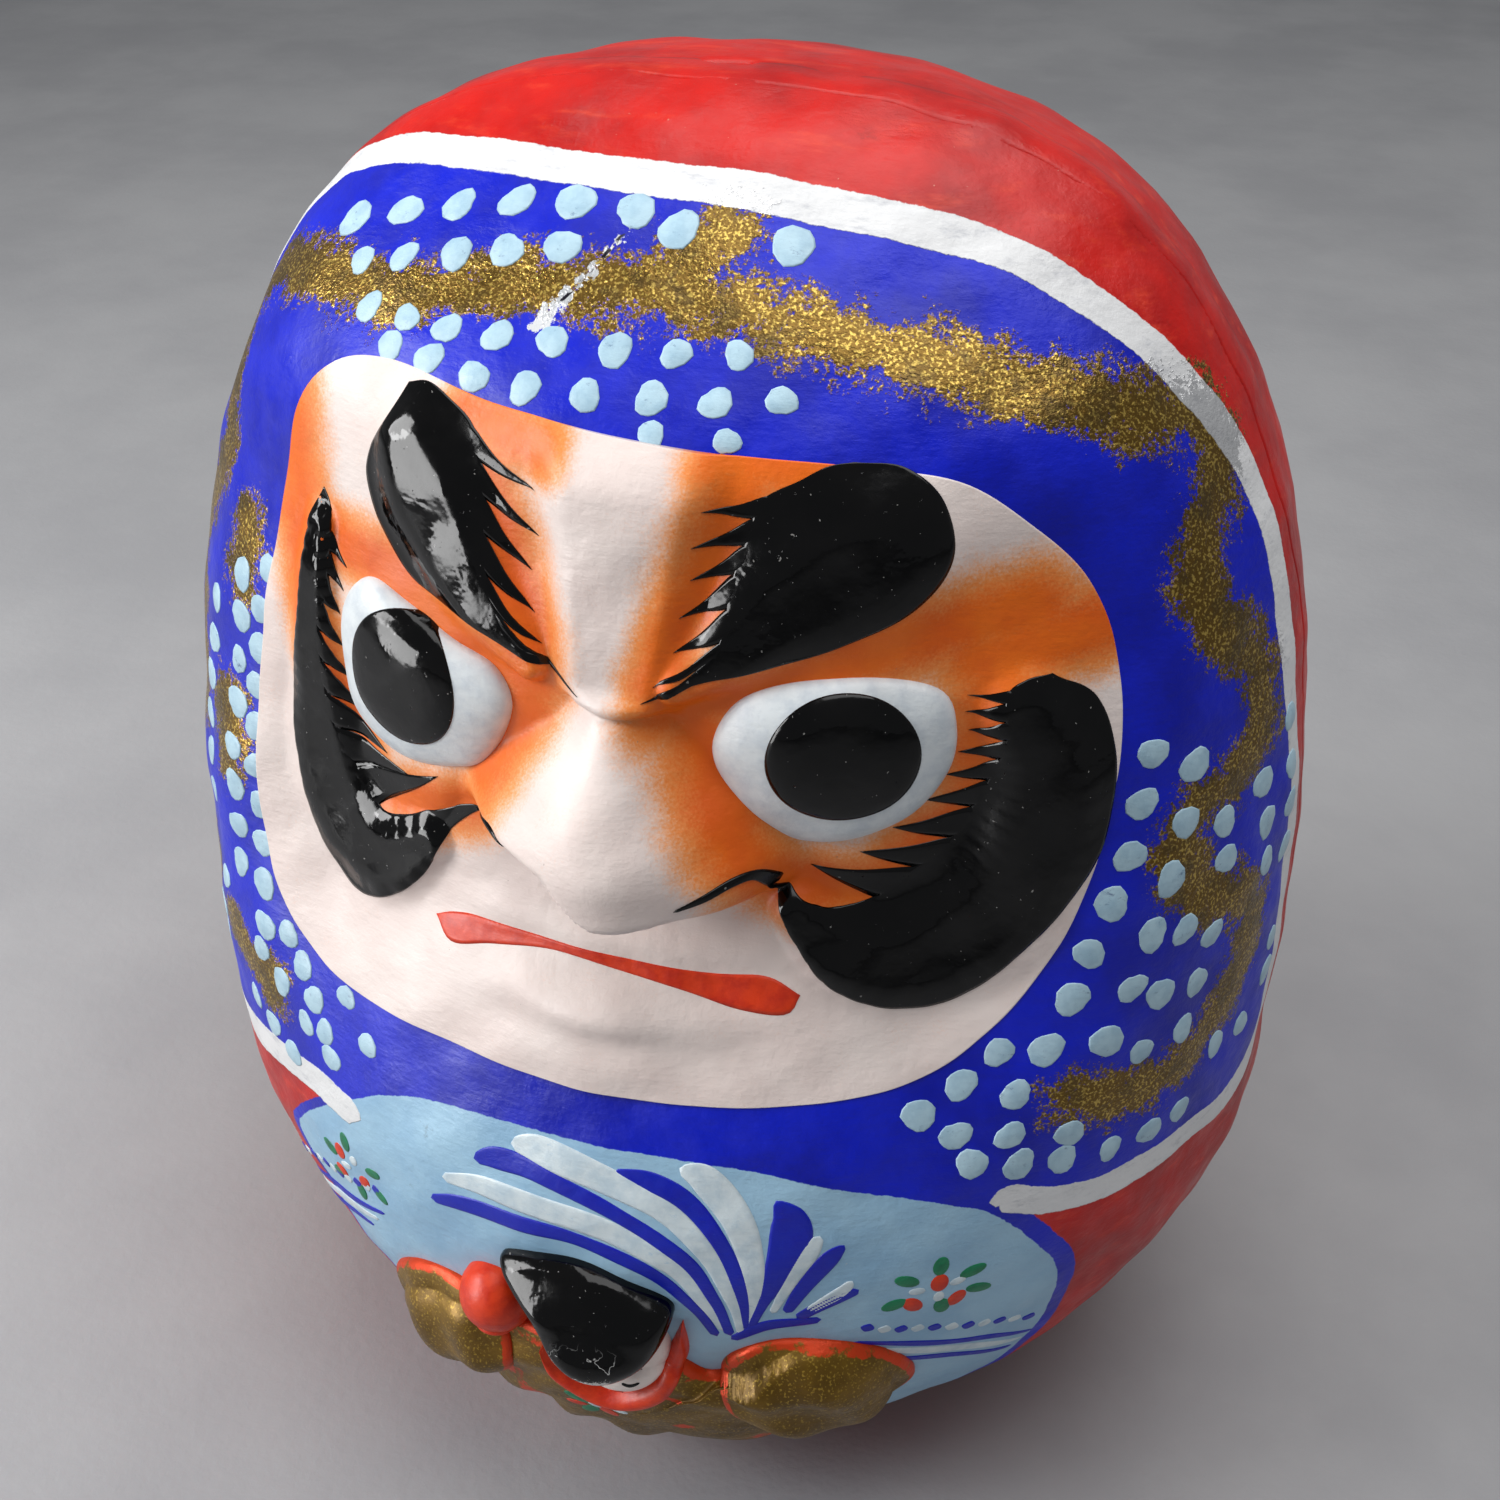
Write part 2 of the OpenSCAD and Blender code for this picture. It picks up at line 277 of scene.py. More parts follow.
def piece(name, parts, paint, nodes=()):
    """One object from one or more sheets. Equal points are merged, and a square with two
    equal corners becomes a triangle, or goes if it has no area left."""
    points, faces, fields = joined([outward(part) for part in parts])
    _, first, same = np.unique(points.round(3), axis=0, return_index=True, return_inverse=True)
    faces = same.reshape(-1)[faces]
    equal = faces == np.roll(faces, -1, axis=1)
    squares = faces[~equal.any(1)]
    squares = squares[(squares[:, 0] != squares[:, 2]) & (squares[:, 1] != squares[:, 3])]
    one = equal.sum(1) == 1
    order = (np.argmax(equal[one], 1)[:, None] + np.arange(1, 4)) % 4
    triangles = np.take_along_axis(faces[one], order, 1)
    mesh = bpy.data.meshes.new(name)
    mesh.from_pydata((points[first] * 0.001).tolist(), [], squares.tolist() + triangles.tolist())
    for field, values in fields.items():
        layer = mesh.attributes.new(field, "FLOAT", "POINT")
        layer.data.foreach_set("value", values[first].astype(np.float32))
    mesh.shade_smooth()
    thing = bpy.data.objects.new(name, mesh)
    bpy.context.scene.collection.objects.link(thing)
    mesh.materials.append(paint)
    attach(thing, "root")
    if nodes:
        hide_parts(*nodes)
    print(name, "has", len(mesh.polygons), "faces")


# %% [markdown]
# ## Outlines
# A painter's outline is a few points and a steady hand. A Bezier curve object would do, but a
# curve through the points as an array can be measured, offset and laid on the shell at once.

# %% Curves through points
def curve(points, count, closed_loop=False):
    """Smooth curve through the points, each span a cubic whose slope at a point is half the
    step between its neighbours, then spaced evenly along its length."""
    p = np.array(points, float)
    if closed_loop:
        p = np.vstack([p[-1], p, p[0], p[1]])
    else:
        p = np.vstack([2 * p[0] - p[1], p, 2 * p[-1] - p[-2]])
    t = np.linspace(0, 1, 16, endpoint=False)[:, None, None]
    a, b, c, d = p[:-3], p[1:-2], p[2:-1], p[3:]
    line = b + (c - a) * t / 2 + (2 * a - 5 * b + 4 * c - d) * t ** 2 / 2
    line = line + (3 * b - a - 3 * c + d) * t ** 3 / 2
    line = np.vstack([line.transpose(1, 0, 2).reshape(-1, p.shape[1]), p[-2]])
    run = np.r_[0, np.cumsum(np.linalg.norm(np.diff(line[:, :2], axis=0), axis=1))]
    even = np.linspace(0, run[-1], count + closed_loop)
    line = np.stack([np.interp(even, run, column) for column in line.T], -1)
    return line[:-1] if closed_loop else line


def between(edge_a, edge_b, along, across):
    """Flat grid between two edges that share their ends: straight steps from a to b."""
    a = curve(edge_a, along)
    b = curve(edge_b, along)
    v = np.linspace(0, 1, across)[None, :, None]
    return a[:, None] * (1 - v) + b[:, None] * v


def ribbon(points, along, across=7):
    """Flat grid of a brush stroke. Each point is x, z and width. The rows stand square to the
    midline, and both ends are rounded: near an end the half width is that of a circle."""
    line = curve(points, along)
    way = np.gradient(line[:, :2], axis=0)
    way /= np.maximum(np.linalg.norm(way, axis=1, keepdims=True), 1e-9)
    square = np.stack([-way[:, 1], way[:, 0]], -1)
    run = np.r_[0, np.cumsum(np.linalg.norm(np.diff(line[:, :2], axis=0), axis=1))]
    half = line[:, 2] / 2
    end_gap = np.maximum(half - np.minimum(run, run[-1] - run), 0)
    width = 2 * np.sqrt(np.maximum(half ** 2 - end_gap ** 2, 0.0004))
    v = np.linspace(-1, 1, across)
    v = 0.5 * np.sign(v) * abs(v) ** 0.45
    return line[:, None, :2] + square[:, None] * width[:, None, None] * v[None, :, None]


def disc(middle, outline, rings):
    """Flat grid from a middle point out to an outline, with the rings closer at the rim."""
    s = 1 - (1 - np.linspace(0, 1, rings)) ** 1.4
    return np.asarray(middle, float) + s[:, None, None] * (outline[None, ::-1] - middle)


def oval(c, rx, rz, count, tilt=0.0):
    """Outline of an oval: cosine along, sine across, then turned by tilt degrees."""
    a = np.linspace(0, 2 * np.pi, count, endpoint=False)
    s = rx * np.cos(a)
    t = rz * np.sin(a)
    turn = math.radians(tilt)
    x = c[0] + s * math.cos(turn) - t * math.sin(turn)
    return np.stack([x, c[1] + s * math.sin(turn) + t * math.cos(turn)], -1)


def lay(flat, thick=0.3, raised=None, sink=0.8, wrap=False, edge=0.07, **fields):
    """Lays a flat grid on the shell as a closed sheet. thick may be one number, rounded off
    to edge at the border, or an array. raised(x, z) is added towards the front, on the top
    side only, so the under side stays sink millimetres below the bare shell."""
    x = flat[..., 0]
    z = flat[..., 1]
    theta = theta_at(x, z)
    if np.ndim(thick) == 0:
        rows = np.linspace(0 if wrap else -1, 1, flat.shape[0])[:, None]
        cols = 0 if wrap else np.linspace(-1, 1, flat.shape[1])[None]
        body = (1 - abs(rows) ** 8) * (1 - abs(cols) ** 4)
        thick = edge + (thick - edge) * np.sqrt(np.maximum(body, 0)) + 0 * x
    return closed(skin(theta, z, thick, raised), skin(theta, z, -sink + 0 * x), wrap, **fields)


print("a curve of", len(curve([(0, 0), (10, 5), (20, 0)], 9)), "points")

# %% [markdown]
# ## Paints
# The doll is brushed by hand with poster paint over chalk, so no colour is even: pigment
# pools, the brush leaves streaks, and chips show the chalk below. Each finish is a node
# material built from a few short calls. Image textures would be quicker to make, but a
# pattern computed from the object's own coordinates is sharp at any distance.

# %% Paint tools
def tone(red, green, blue):
    """A screen colour, 0 to 255, as the linear colour that a shader works in."""
    return tuple((v / 255) ** 2.2 for v in (red, green, blue)) + (1,)


class Paint:
    """A material under construction: each call adds a node, or a few, and joins them up."""

    def __init__(self, name):
        self.material = bpy.data.materials.new(name)
        self.material.use_nodes = True
        self.tree = self.material.node_tree
        self.shader = self.tree.nodes["Principled BSDF"]
        self.place = self.add("ShaderNodeTexCoord").outputs["Object"]

    def add(self, kind, values=(), **settings):
        """Adds a node. values maps a socket's name or number to a number or an output."""
        node = self.tree.nodes.new(kind)
        for key, value in settings.items():
            setattr(node, key, value)
        for key, value in dict(values).items():
            if isinstance(value, bpy.types.NodeSocket):
                self.tree.links.new(value, node.inputs[key])
            else:
                node.inputs[key].default_value = value
        return node

    def noise(self, size, detail=3, rough=0.55, stretch=(1, 1, 1), shift=0.0):
        """Cloudy noise whose patches are about size millimetres, drawn out by stretch."""
        across = [1000 / size / s for s in stretch]
        way = self.add("ShaderNodeMapping", {"Vector": self.place, "Scale": across,
                                             "Location": (shift, shift, 0)})
        cloud = self.add("ShaderNodeTexNoise", {"Vector": way.outputs[0], "Scale": 1.0,
                                                "Detail": detail, "Roughness": rough})
        return cloud.outputs["Fac"]

    def field(self, name):
        """A value that the piece's own points carry."""
        return self.add("ShaderNodeAttribute", attribute_name=name).outputs["Fac"]

    def math(self, job, a, b=0.0):
        """Any sum of two values. job is the name that Blender gives it."""
        return self.add("ShaderNodeMath", {0: a, 1: b}, operation=job).outputs[0]

    def plus(self, a, b):
        """a plus b."""
        return self.math("ADD", a, b)

    def times(self, a, b):
        """a times b."""
        return self.math("MULTIPLY", a, b)

    def step(self, value, low, high, out_low=0.0, out_high=1.0):
        """Eases from out_low to out_high while value goes from low to high."""
        rows = {"Value": value, "From Min": low, "From Max": high,
                "To Min": out_low, "To Max": out_high}
        return self.add("ShaderNodeMapRange", rows, interpolation_type="SMOOTHSTEP").outputs[0]

    def clouds(self, low, high, *noise, **more):
        """Patches: nought where the noise is below low, one where it is above high."""
        return self.step(self.noise(*noise, **more), low, high)

    def drift(self, low, high, size, detail=3, shift=0.0):
        """A value that drifts from low to high and back in patches of the given size."""
        return self.step(self.noise(size, detail, shift=shift), 0.3, 0.7, low, high)

    def mix(self, amount, a, b, strength=None):
        """Colour a where amount is nought, colour b where it is one. A strength weakens b."""
        if strength is not None:
            amount = self.times(amount, strength)
        node = self.add("ShaderNodeMix", {"Factor": amount, 6: a, 7: b}, data_type="RGBA")
        return node.outputs[2]

    def edge(self, name, ragged=0.5, soft=0.2):
        """Coverage of a coat from its distance field: positive inside, ragged by a little
        noise at the rim as a brush leaves it."""
        shake = self.times(self.math("SUBTRACT", self.noise(3.5, 4, 0.7), 0.5), ragged * 4)
        return self.step(self.plus(self.field(name), shake), -soft, soft)

    def done(self, colour, rough, height, depth, coat=0.0, coat_rough=0.1):
        """Joins colour, roughness and a bump of the given depth in millimetres, and sets how
        much of a second, clear gloss lies on top."""
        bump = self.add("ShaderNodeBump", {"Height": height, "Distance": depth * 0.001,
                                           "Strength": 1.0})
        self.tree.links.new(colour, self.shader.inputs["Base Color"])
        self.tree.links.new(rough, self.shader.inputs["Roughness"])
        self.tree.links.new(bump.outputs[0], self.shader.inputs["Normal"])
        self.shader.inputs["Specular IOR Level"].default_value = 0.3
        self.shader.inputs["Coat Weight"].default_value = coat
        self.shader.inputs["Coat Roughness"].default_value = coat_rough
        return self.material


print("middle grey in linear light:", round(tone(128, 128, 128)[0], 2))

# %% [markdown]
# ## Red
# The robe is a thin, streaky scarlet over chalk. Brushed level round the crown, it pools to a
# darker red and wears to orange where the paper stands proud. One cloud gives the pools and
# one long, thin cloud the brush marks.

# %% Red paint
def red_layer(paint):
    """Scarlet with darker pools, paler brush streaks along x and a few brown rub marks."""
    pools = paint.clouds(0.35, 0.7, 45, 4, 0.6)
    colour = paint.mix(pools, tone(204, 26, 14), tone(160, 10, 8))
    streaks = paint.clouds(0.52, 0.78, 5, 5, 0.65, (7, 2, 1))
    colour = paint.mix(streaks, colour, tone(232, 74, 44), 0.55)
    rubs = paint.clouds(0.62, 0.76, 20, 6, 0.75, (1.6, 1, 1), 3.0)
    colour = paint.mix(rubs, colour, tone(118, 26, 16), 0.45)
    specks = paint.clouds(0.74, 0.8, 2.2, 2, 0.6, shift=5.0)
    return paint.mix(specks, colour, tone(205, 150, 130), 0.55)


def brush_height(paint):
    """Height of the paint film: paper grain, plus the ridges that the brush leaves."""
    grain = paint.noise(6, 5, 0.6)
    ridges = paint.noise(1.6, 3, 0.6, (6, 2, 1))
    return paint.plus(grain, paint.times(ridges, 0.35))


def make_red(name):
    """The robe's red as a whole material."""
    paint = Paint(name)
    rough = paint.drift(0.3, 0.46, 12)
    return paint.done(red_layer(paint), rough, brush_height(paint), 0.5, 0.06, 0.25)


red_paint = make_red("red_robe_paint")
print("made", red_paint.name)

# %% [markdown]
# ## Hood, border, bag and bronze dust
# The front shell carries five coats: red, the blue hood, its white border, the pale bag and
# its blue outline. Bronze dust lies on the hood. The coats could be five more sheets, but
# they cover the shell edge to edge, so each is a distance field instead: every point of the
# shell knows how many millimetres inside each outline it lies, and the paint starts where
# that is nought.

# %% Hood and bag paint
def bronze_dust(paint, colour):
    """Dust where its field, patches and fine grain add up: dark gold, bright grains and old,
    brown places. Gives the new colour and how much dust there is."""
    dust = paint.noise(1.5, 2, 0.8)
    patch = paint.noise(9, 3, 0.6, shift=4.0)
    load = paint.plus(paint.field("bronze"), paint.times(patch, 1.7))
    bronze = paint.step(paint.plus(load, paint.times(dust, 1.5)), 1.78, 2.08)
    glint = paint.clouds(0.5, 0.68, 0.9, 1, 0.5, shift=7.0)
    grain = paint.mix(glint, tone(112, 86, 38), tone(196, 166, 84))
    grain = paint.mix(paint.clouds(0.48, 0.62, 11, 3, 0.6, shift=5.5), grain, tone(84, 70, 44), 0.6)
    return paint.mix(bronze, colour, grain), bronze, dust


def make_front_paint():
    """Red, then blue, bronze, bag outline, bag and white border, each over the last."""
    paint = Paint("front_shell_paint")
    blue = paint.mix(paint.clouds(0.35, 0.7, 30, 4, 0.6, shift=2.0), tone(0, 32, 196), tone(0, 24, 162))
    blue = paint.mix(paint.clouds(0.6, 0.85, 7, 5, 0.7, (4, 2, 1), 1.0), blue, tone(8, 44, 198), 0.3)
    colour = paint.mix(paint.edge("hood"), red_layer(paint), blue)
    colour, bronze, dust = bronze_dust(paint, colour)
    colour = paint.mix(paint.edge("bag_rim", 0.4), colour, blue)
    sky = paint.mix(paint.clouds(0.3, 0.7, 26, 4, 0.6, shift=6.0),
                    tone(160, 198, 222), tone(142, 182, 212))
    sky = paint.mix(paint.clouds(0.64, 0.72, 14, 6, 0.8, shift=8.0), sky, tone(120, 138, 152), 0.5)
    colour = paint.mix(paint.edge("bag", 0.4), colour, sky)
    border = paint.edge("border", 0.45)
    white = paint.mix(paint.clouds(0.5, 0.8, 4, 6, 0.75, (4, 2, 1), 9.0),
                      tone(226, 226, 226), tone(176, 178, 184))
    colour = paint.mix(border, colour, white)
    chip = paint.step(paint.plus(paint.field("chips"), paint.noise(3, 5, 0.7)), 1.05, 1.1)
    colour = paint.mix(chip, colour, tone(206, 208, 210))
    gash = paint.plus(paint.field("scratch"), paint.noise(5, 4, 0.7, shift=3.5))
    colour = paint.mix(paint.step(gash, 1.12, 1.3), colour, tone(38, 36, 44))
    rough = paint.drift(0.34, 0.5, 10, shift=1.5)
    rough = paint.times(rough, paint.step(bronze, 0, 1, 1.0, 0.75))
    paint.tree.links.new(paint.times(bronze, 0.75), paint.shader.inputs["Metallic"])
    height = paint.plus(brush_height(paint), paint.times(border, 0.5))
    height = paint.plus(height, paint.times(dust, paint.times(bronze, 0.5)))
    return paint.done(colour, rough, height, 0.45, 0.08, 0.25)


front_paint = make_front_paint()
print("made", front_paint.name)

# %% [markdown]
# ## Chalk white and sprayed orange
# The face is bone white with a breath of pink. The orange is sprayed, so it has no edge: it
# fades out as finer and finer dots. The face's points carry how much spray reached them, and
# fine noise turns the faint end of it into dots.

# %% Face paint
def make_face_paint():
    """Pinkish chalk, orange where the spray field beats the noise, soot on the nose."""
    paint = Paint("face_paint")
    colour = paint.mix(paint.clouds(0.3, 0.7, 40, 3), tone(238, 224, 217), tone(228, 210, 203))
    dots = paint.times(paint.math("SUBTRACT", paint.noise(0.8, 2, 0.6), 0.5), 0.45)
    cloud = paint.times(paint.math("SUBTRACT", paint.noise(12, 3, shift=2.0), 0.5), 0.3)
    spray = paint.plus(paint.field("spray"), paint.plus(dots, cloud))
    orange = paint.mix(paint.clouds(0.3, 0.7, 22, 3, shift=3.0), tone(240, 112, 24), tone(228, 94, 18))
    colour = paint.mix(paint.step(spray, 0.02, 0.62), colour, tone(242, 158, 88))
    colour = paint.mix(paint.step(spray, 0.3, 0.95), colour, orange)
    soot = paint.plus(paint.field("soot"), paint.noise(3.2, 6, 0.8))
    colour = paint.mix(paint.step(soot, 1.18, 1.32), colour, tone(84, 84, 100))
    dirt = paint.clouds(0.76, 0.8, 1.6, 2, 0.6, shift=6.0)
    colour = paint.mix(dirt, colour, tone(150, 128, 120), 0.5)
    rough = paint.drift(0.38, 0.55, 14, shift=4.0)
    return paint.done(colour, rough, brush_height(paint), 0.4, 0.08, 0.3)


face_paint = make_face_paint()
print("made", face_paint.name)

# %% [markdown]
# ## Black, white and small colours
# The brows are a thick, glossy black, nearly lacquer, with pits, dust and hairline cracks.
# The small strokes are poster paint straight from the pot. One function with a few choices
# makes them all, since they differ only in colour, gloss and wear.

# %% Small paints
def make_gloss_black(name, worn):
    """Thick black: fine orange peel, pits, dust specks, and cracks and chips if worn."""
    paint = Paint(name)
    colour = paint.mix(paint.clouds(0.3, 0.75, 18, 4), tone(5, 5, 6), tone(15, 14, 14))
    speck = paint.clouds(0.77, 0.79, 1.3, 1, 0.5, shift=3.0)
    colour = paint.mix(speck, colour, tone(170, 168, 164), 0.5)
    if worn:
        vein = paint.math("ABSOLUTE", paint.math("SUBTRACT", paint.noise(16, 4, 0.6, shift=5.0), 0.5))
        where = paint.step(paint.field("chips"), 0.05, 0.3)
        crack = paint.times(paint.step(vein, 0.008, 0.002), where)
        colour = paint.mix(crack, colour, tone(196, 196, 194))
        chip = paint.step(paint.plus(paint.field("chips"), paint.noise(2.6, 6, 0.8)), 1.12, 1.16)
        colour = paint.mix(chip, colour, tone(214, 212, 208))
    rough = paint.step(paint.noise(8, 4, shift=2.0), 0.35, 0.75, 0.07, 0.2)
    pits = paint.times(paint.clouds(0.7, 0.8, 1.7, 2, 0.6, shift=8.0), -0.5)
    return paint.done(colour, rough, paint.plus(paint.noise(9, 3, 0.5), pits), 0.3)


def make_poster_paint(name, colour, shade, under, cover=0.35, rough=0.42):
    """Poster paint: colour running to shade where it pools, and the under colour showing
    through where the brush ran dry. Each is given as screen red, green and blue."""
    paint = Paint(name)
    mixed = paint.mix(paint.clouds(0.35, 0.7, 6, 4, 0.6), tone(*colour), tone(*shade))
    dry = paint.clouds(0.58, 0.72, 3, 6, 0.8, (2, 1.5, 1), 4.0)
    mixed = paint.mix(dry, mixed, tone(*under), cover)
    gloss = paint.drift(rough - 0.06, rough + 0.1, 5, shift=1.0)
    return paint.done(mixed, gloss, brush_height(paint), 0.35, 0.1, 0.25)


black_gloss = make_gloss_black("brow_black", False)
cap_black = make_gloss_black("cap_black", True)
eye_white = make_poster_paint("eye_white", (224, 230, 232), (206, 214, 220), (190, 196, 204), 0.3, 0.36)
dot_blue = make_poster_paint("dot_pale_blue", (178, 208, 222), (158, 190, 208), (84, 104, 140), 0.85)
stroke_white = make_poster_paint("stroke_white", (214, 226, 230), (190, 208, 218), (150, 186, 212), 0.6)
stroke_blue = make_poster_paint("stroke_blue", (8, 34, 176), (10, 26, 170), (60, 84, 180), 0.3)
vermilion = make_poster_paint("vermilion", (222, 62, 22), (198, 44, 16), (170, 34, 20))
leaf_green = make_poster_paint("leaf_green", (18, 128, 84), (12, 100, 70), (90, 160, 150))


def make_bronze_paint():
    """Dull bronze: olive brown with metal dust, and red undercoat at the rubbed places."""
    paint = Paint("robe_bronze")
    tint = paint.mix(paint.clouds(0.3, 0.7, 16, 4, 0.6), tone(122, 92, 26), tone(92, 68, 18))
    tint = paint.mix(paint.clouds(0.56, 0.7, 0.9, 1, 0.5), tint, tone(176, 144, 58), 0.6)
    worn = paint.plus(paint.field("rim_red"), paint.noise(7, 5, 0.7, shift=2.0))
    tint = paint.mix(paint.step(worn, 0.86, 0.98), tint, tone(206, 64, 24))
    rough = paint.drift(0.34, 0.5, 6, shift=3.0)
    paint.shader.inputs["Metallic"].default_value = 0.35
    return paint.done(tint, rough, brush_height(paint), 0.4, 0.05, 0.3)


bronze_paint = make_bronze_paint()
print("made", len(bpy.data.materials), "finishes so far")

# %% [markdown]
# ## The three plain materials under the doll
# The foot's pasted paper, the board above it and the dried clay are seen only when the doll is
# turned over or cut open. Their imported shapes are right, so they stay and only get a finish.

# %% Foot paper, board and clay
def make_plain(name, colour, shade, grain_size, fibre, depth, rough):
    """A dry, matt stuff: two tones in clouds, fibres drawn out along x, and a rough bump."""
    paint = Paint(name)
    mixed = paint.mix(paint.clouds(0.3, 0.7, grain_size * 6, 4), tone(*colour), tone(*shade))
    hair = paint.clouds(0.55, 0.75, 1.2, 3, 0.6, (fibre, 1, 1), 2.0)
    mixed = paint.mix(hair, mixed, tone(90, 72, 52), 0.4)
    height = paint.noise(grain_size, 6, 0.7)
    matt = paint.drift(rough - 0.08, rough + 0.08, grain_size * 2)
    return paint.done(mixed, matt, height, depth)


foot_bare = make_plain("foot_paper_bare", (176, 152, 116), (150, 124, 92), 3, 8, 0.4, 0.85)
board_grey = make_plain("foot_board_grey", (150, 128, 98), (128, 106, 78), 2, 5, 0.3, 0.8)
dried_clay = make_plain("dried_clay", (120, 104, 88), (92, 80, 68), 5, 1, 1.2, 0.9)
plain = {"foot_paper": foot_bare, "foot_board": board_grey, "clay_weight": dried_clay}
for node, finish in plain.items():
    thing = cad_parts[node]
    thing.data.materials.clear()
    thing.data.materials.append(finish)
    print(node, "keeps its packed shape")

# %% [markdown]
# ## Distance fields for the big coats
# The hood's outer edge runs over the brow, down both sides and curls in below the chin. Its
# points are given as an angle in degrees and a height, because the hood reaches far round the
# sides, and the bag's are given as x and height, because it lies on the front.

# %% Outlines of the hood and the bag
hood_edge = [(-28, 160), (-40, 158), (-56, 146), (-72, 152), (-82, 180), (-84, 240), (-83, 320),
             (-82, 380), (-80, 415), (-72, 425), (-58, 431), (-35, 434), (0, 435), (20, 433),
             (36, 429), (50, 423), (62, 411), (70, 396), (76, 375), (80, 350), (81, 300),
             (84, 240), (83, 180), (77, 159), (66, 158), (54, 158), (46, 161), (41, 166)]
bag_edge = [(-116, 128), (-112, 139), (-104, 149), (-90, 162), (-70, 176), (-45, 184), (0, 187),
            (45, 185), (75, 178), (103, 170), (116, 163), (128, 147), (135, 130), (134, 104),
            (124, 76), (104, 52), (60, 34), (0, 30), (-60, 44), (-92, 82), (-104, 108)]


def as_angles(flat):
    """Turns x and height into an angle and a height."""
    flat = np.asarray(flat, float)
    return np.stack([theta_at(flat[:, 0], flat[:, 1]), flat[:, 1]], -1)


def line_distance(points, line):
    """Distance from each point to a line of close points: to the nearest of them, then
    square to the span on either side of it."""
    best = np.empty(len(points), int)
    for start in range(0, len(points), 4000):
        part = points[start:start + 4000]
        best[start:start + 4000] = ((part[:, None] - line[None]) ** 2).sum(-1).argmin(1)
    nearest = np.full(len(points), 1e9)
    for step in (-1, 1):
        a = line[best]
        b = line[np.clip(best + step, 0, len(line) - 1)]
        span = b - a
        along = ((points - a) * span).sum(-1) / np.maximum((span ** 2).sum(-1), 1e-9)
        foot = a + span * np.clip(along, 0, 1)[:, None]
        nearest = np.minimum(nearest, np.linalg.norm(points - foot, axis=1))
    return nearest, best


def inside(flat, loop):
    """True where a flat point is inside the loop: a ray from it crosses the loop an odd
    number of times."""
    hit = np.zeros(len(flat), bool)
    for a, b in zip(loop, np.roll(loop, -1, axis=0)):
        spans = (a[1] > flat[:, 1]) != (b[1] > flat[:, 1])
        cut = a[0] + (flat[:, 1] - a[1]) * (b[0] - a[0]) / (b[1] - a[1] + 1e-12)
        hit ^= spans & (flat[:, 0] < cut)
    return hit


def inset(points, flat, loop):
    """Signed distance in millimetres: positive inside the loop, negative outside."""
    ring = np.vstack([loop, loop[:1]])
    away, _ = line_distance(points, front(ring[:, 0], ring[:, 1]))
    return np.where(inside(flat, loop), away, -away)


rows = 216
cols = 172
one_degree = np.pi / 180
t = np.linspace(math.acos(1 - 2 * foot_paper_t / body_h) / math.pi, 1, rows)
shell_z = body_h * (1 - np.cos(np.pi * t)) / 2
shell_theta = np.radians(np.linspace(-90, 90, cols))
flat_theta, flat_z = [v.ravel() for v in np.meshgrid(shell_theta, shell_z)]
shell_points = front(flat_theta, flat_z)
shell_flat = np.stack([flat_theta, flat_z], -1)

hood_line = curve(hood_edge, 420) * [one_degree, 1]
hood_in = inset(shell_points, shell_flat, hood_line)
bag_in = inset(shell_points, shell_flat, as_angles(curve(bag_edge, 260, True)))
print("hood covers", (hood_in > 0).mean().round(2), "of the front, bag", (bag_in > 0).mean().round(2))

# %% [markdown]
# ## White border and bronze dust
# The border is one long brush stroke along the hood's edge, a little wider over the brow. The
# dust was shaken over a glue line that wanders over the brow and down the sides, so it is
# thick in the middle and thins out. Both come from the distance to a line.

# %% Fields of border and outline
away, nearest = line_distance(shell_points, front(hood_line[:, 0], hood_line[:, 1]))
over_brow = hump(hood_line[:, 0], 0.3, 0.5) * (hood_line[:, 1] > 300)
border_w = (7 + 1.2 * over_brow)[nearest]
border_out = 3.4    # how far the stroke runs outside the hood's edge
border = np.minimum(hood_in, border_w - away)
border = np.maximum(border, border_out - away)
bag_rim = bag_in + 6.5 - 3 * (shell_points[:, 0] < 0)
print("border is", border_out + round(border_w.max(), 1), "millimetres wide at most")

# %% Fields of dust, scratch and chips
dust_lines = [
    [(-66, 398), (-47, 402), (-33, 405), (-18, 411), (-7, 413), (5, 413), (15, 410), (34, 403),
     (50, 395), (62, 388), (71, 382), (73, 374), (68, 362), (63, 346), (65, 331), (71, 319),
     (73, 303), (69, 289), (60, 283), (58, 272), (61, 258), (68, 245), (72, 235), (70, 213),
     (67, 203), (58, 194), (47, 200)],
    [(0, 416), (5, 421), (9, 426)], [(-51, 330), (-50, 313)], [(-52, 273), (-51, 255)],
    [(-52, 192), (-42, 184)],
    [(-66, 398), (-72, 384), (-70, 364), (-64, 346), (-67, 326), (-73, 306), (-66, 288),
     (-63, 262), (-71, 240), (-69, 214), (-60, 196)]]
dust_reach = 14
scratch_reach = 1.6
bronze = np.full(len(shell_points), -3.0)
for line in dust_lines:
    path = curve(line, 20 * len(line)) * [one_degree, 1]
    gap, _ = line_distance(shell_points, front(path[:, 0], path[:, 1]))
    bronze = np.maximum(bronze, 1 - gap / dust_reach)
scar = np.linspace([-5 * one_degree, 427], [-13 * one_degree, 405], 40)
gap, _ = line_distance(shell_points, front(scar[:, 0], scar[:, 1]))
scratch = 1 - gap / scratch_reach
bare_end = np.hypot(shell_points[:, 0] + 28, flat_z - 405)
chips = 0.62 * np.exp(-gap / 5) + 0.3 * np.exp(-bare_end / 7)
crack = curve([(62, 185), (66, 170), (74, 158), (84, 140)], 60)
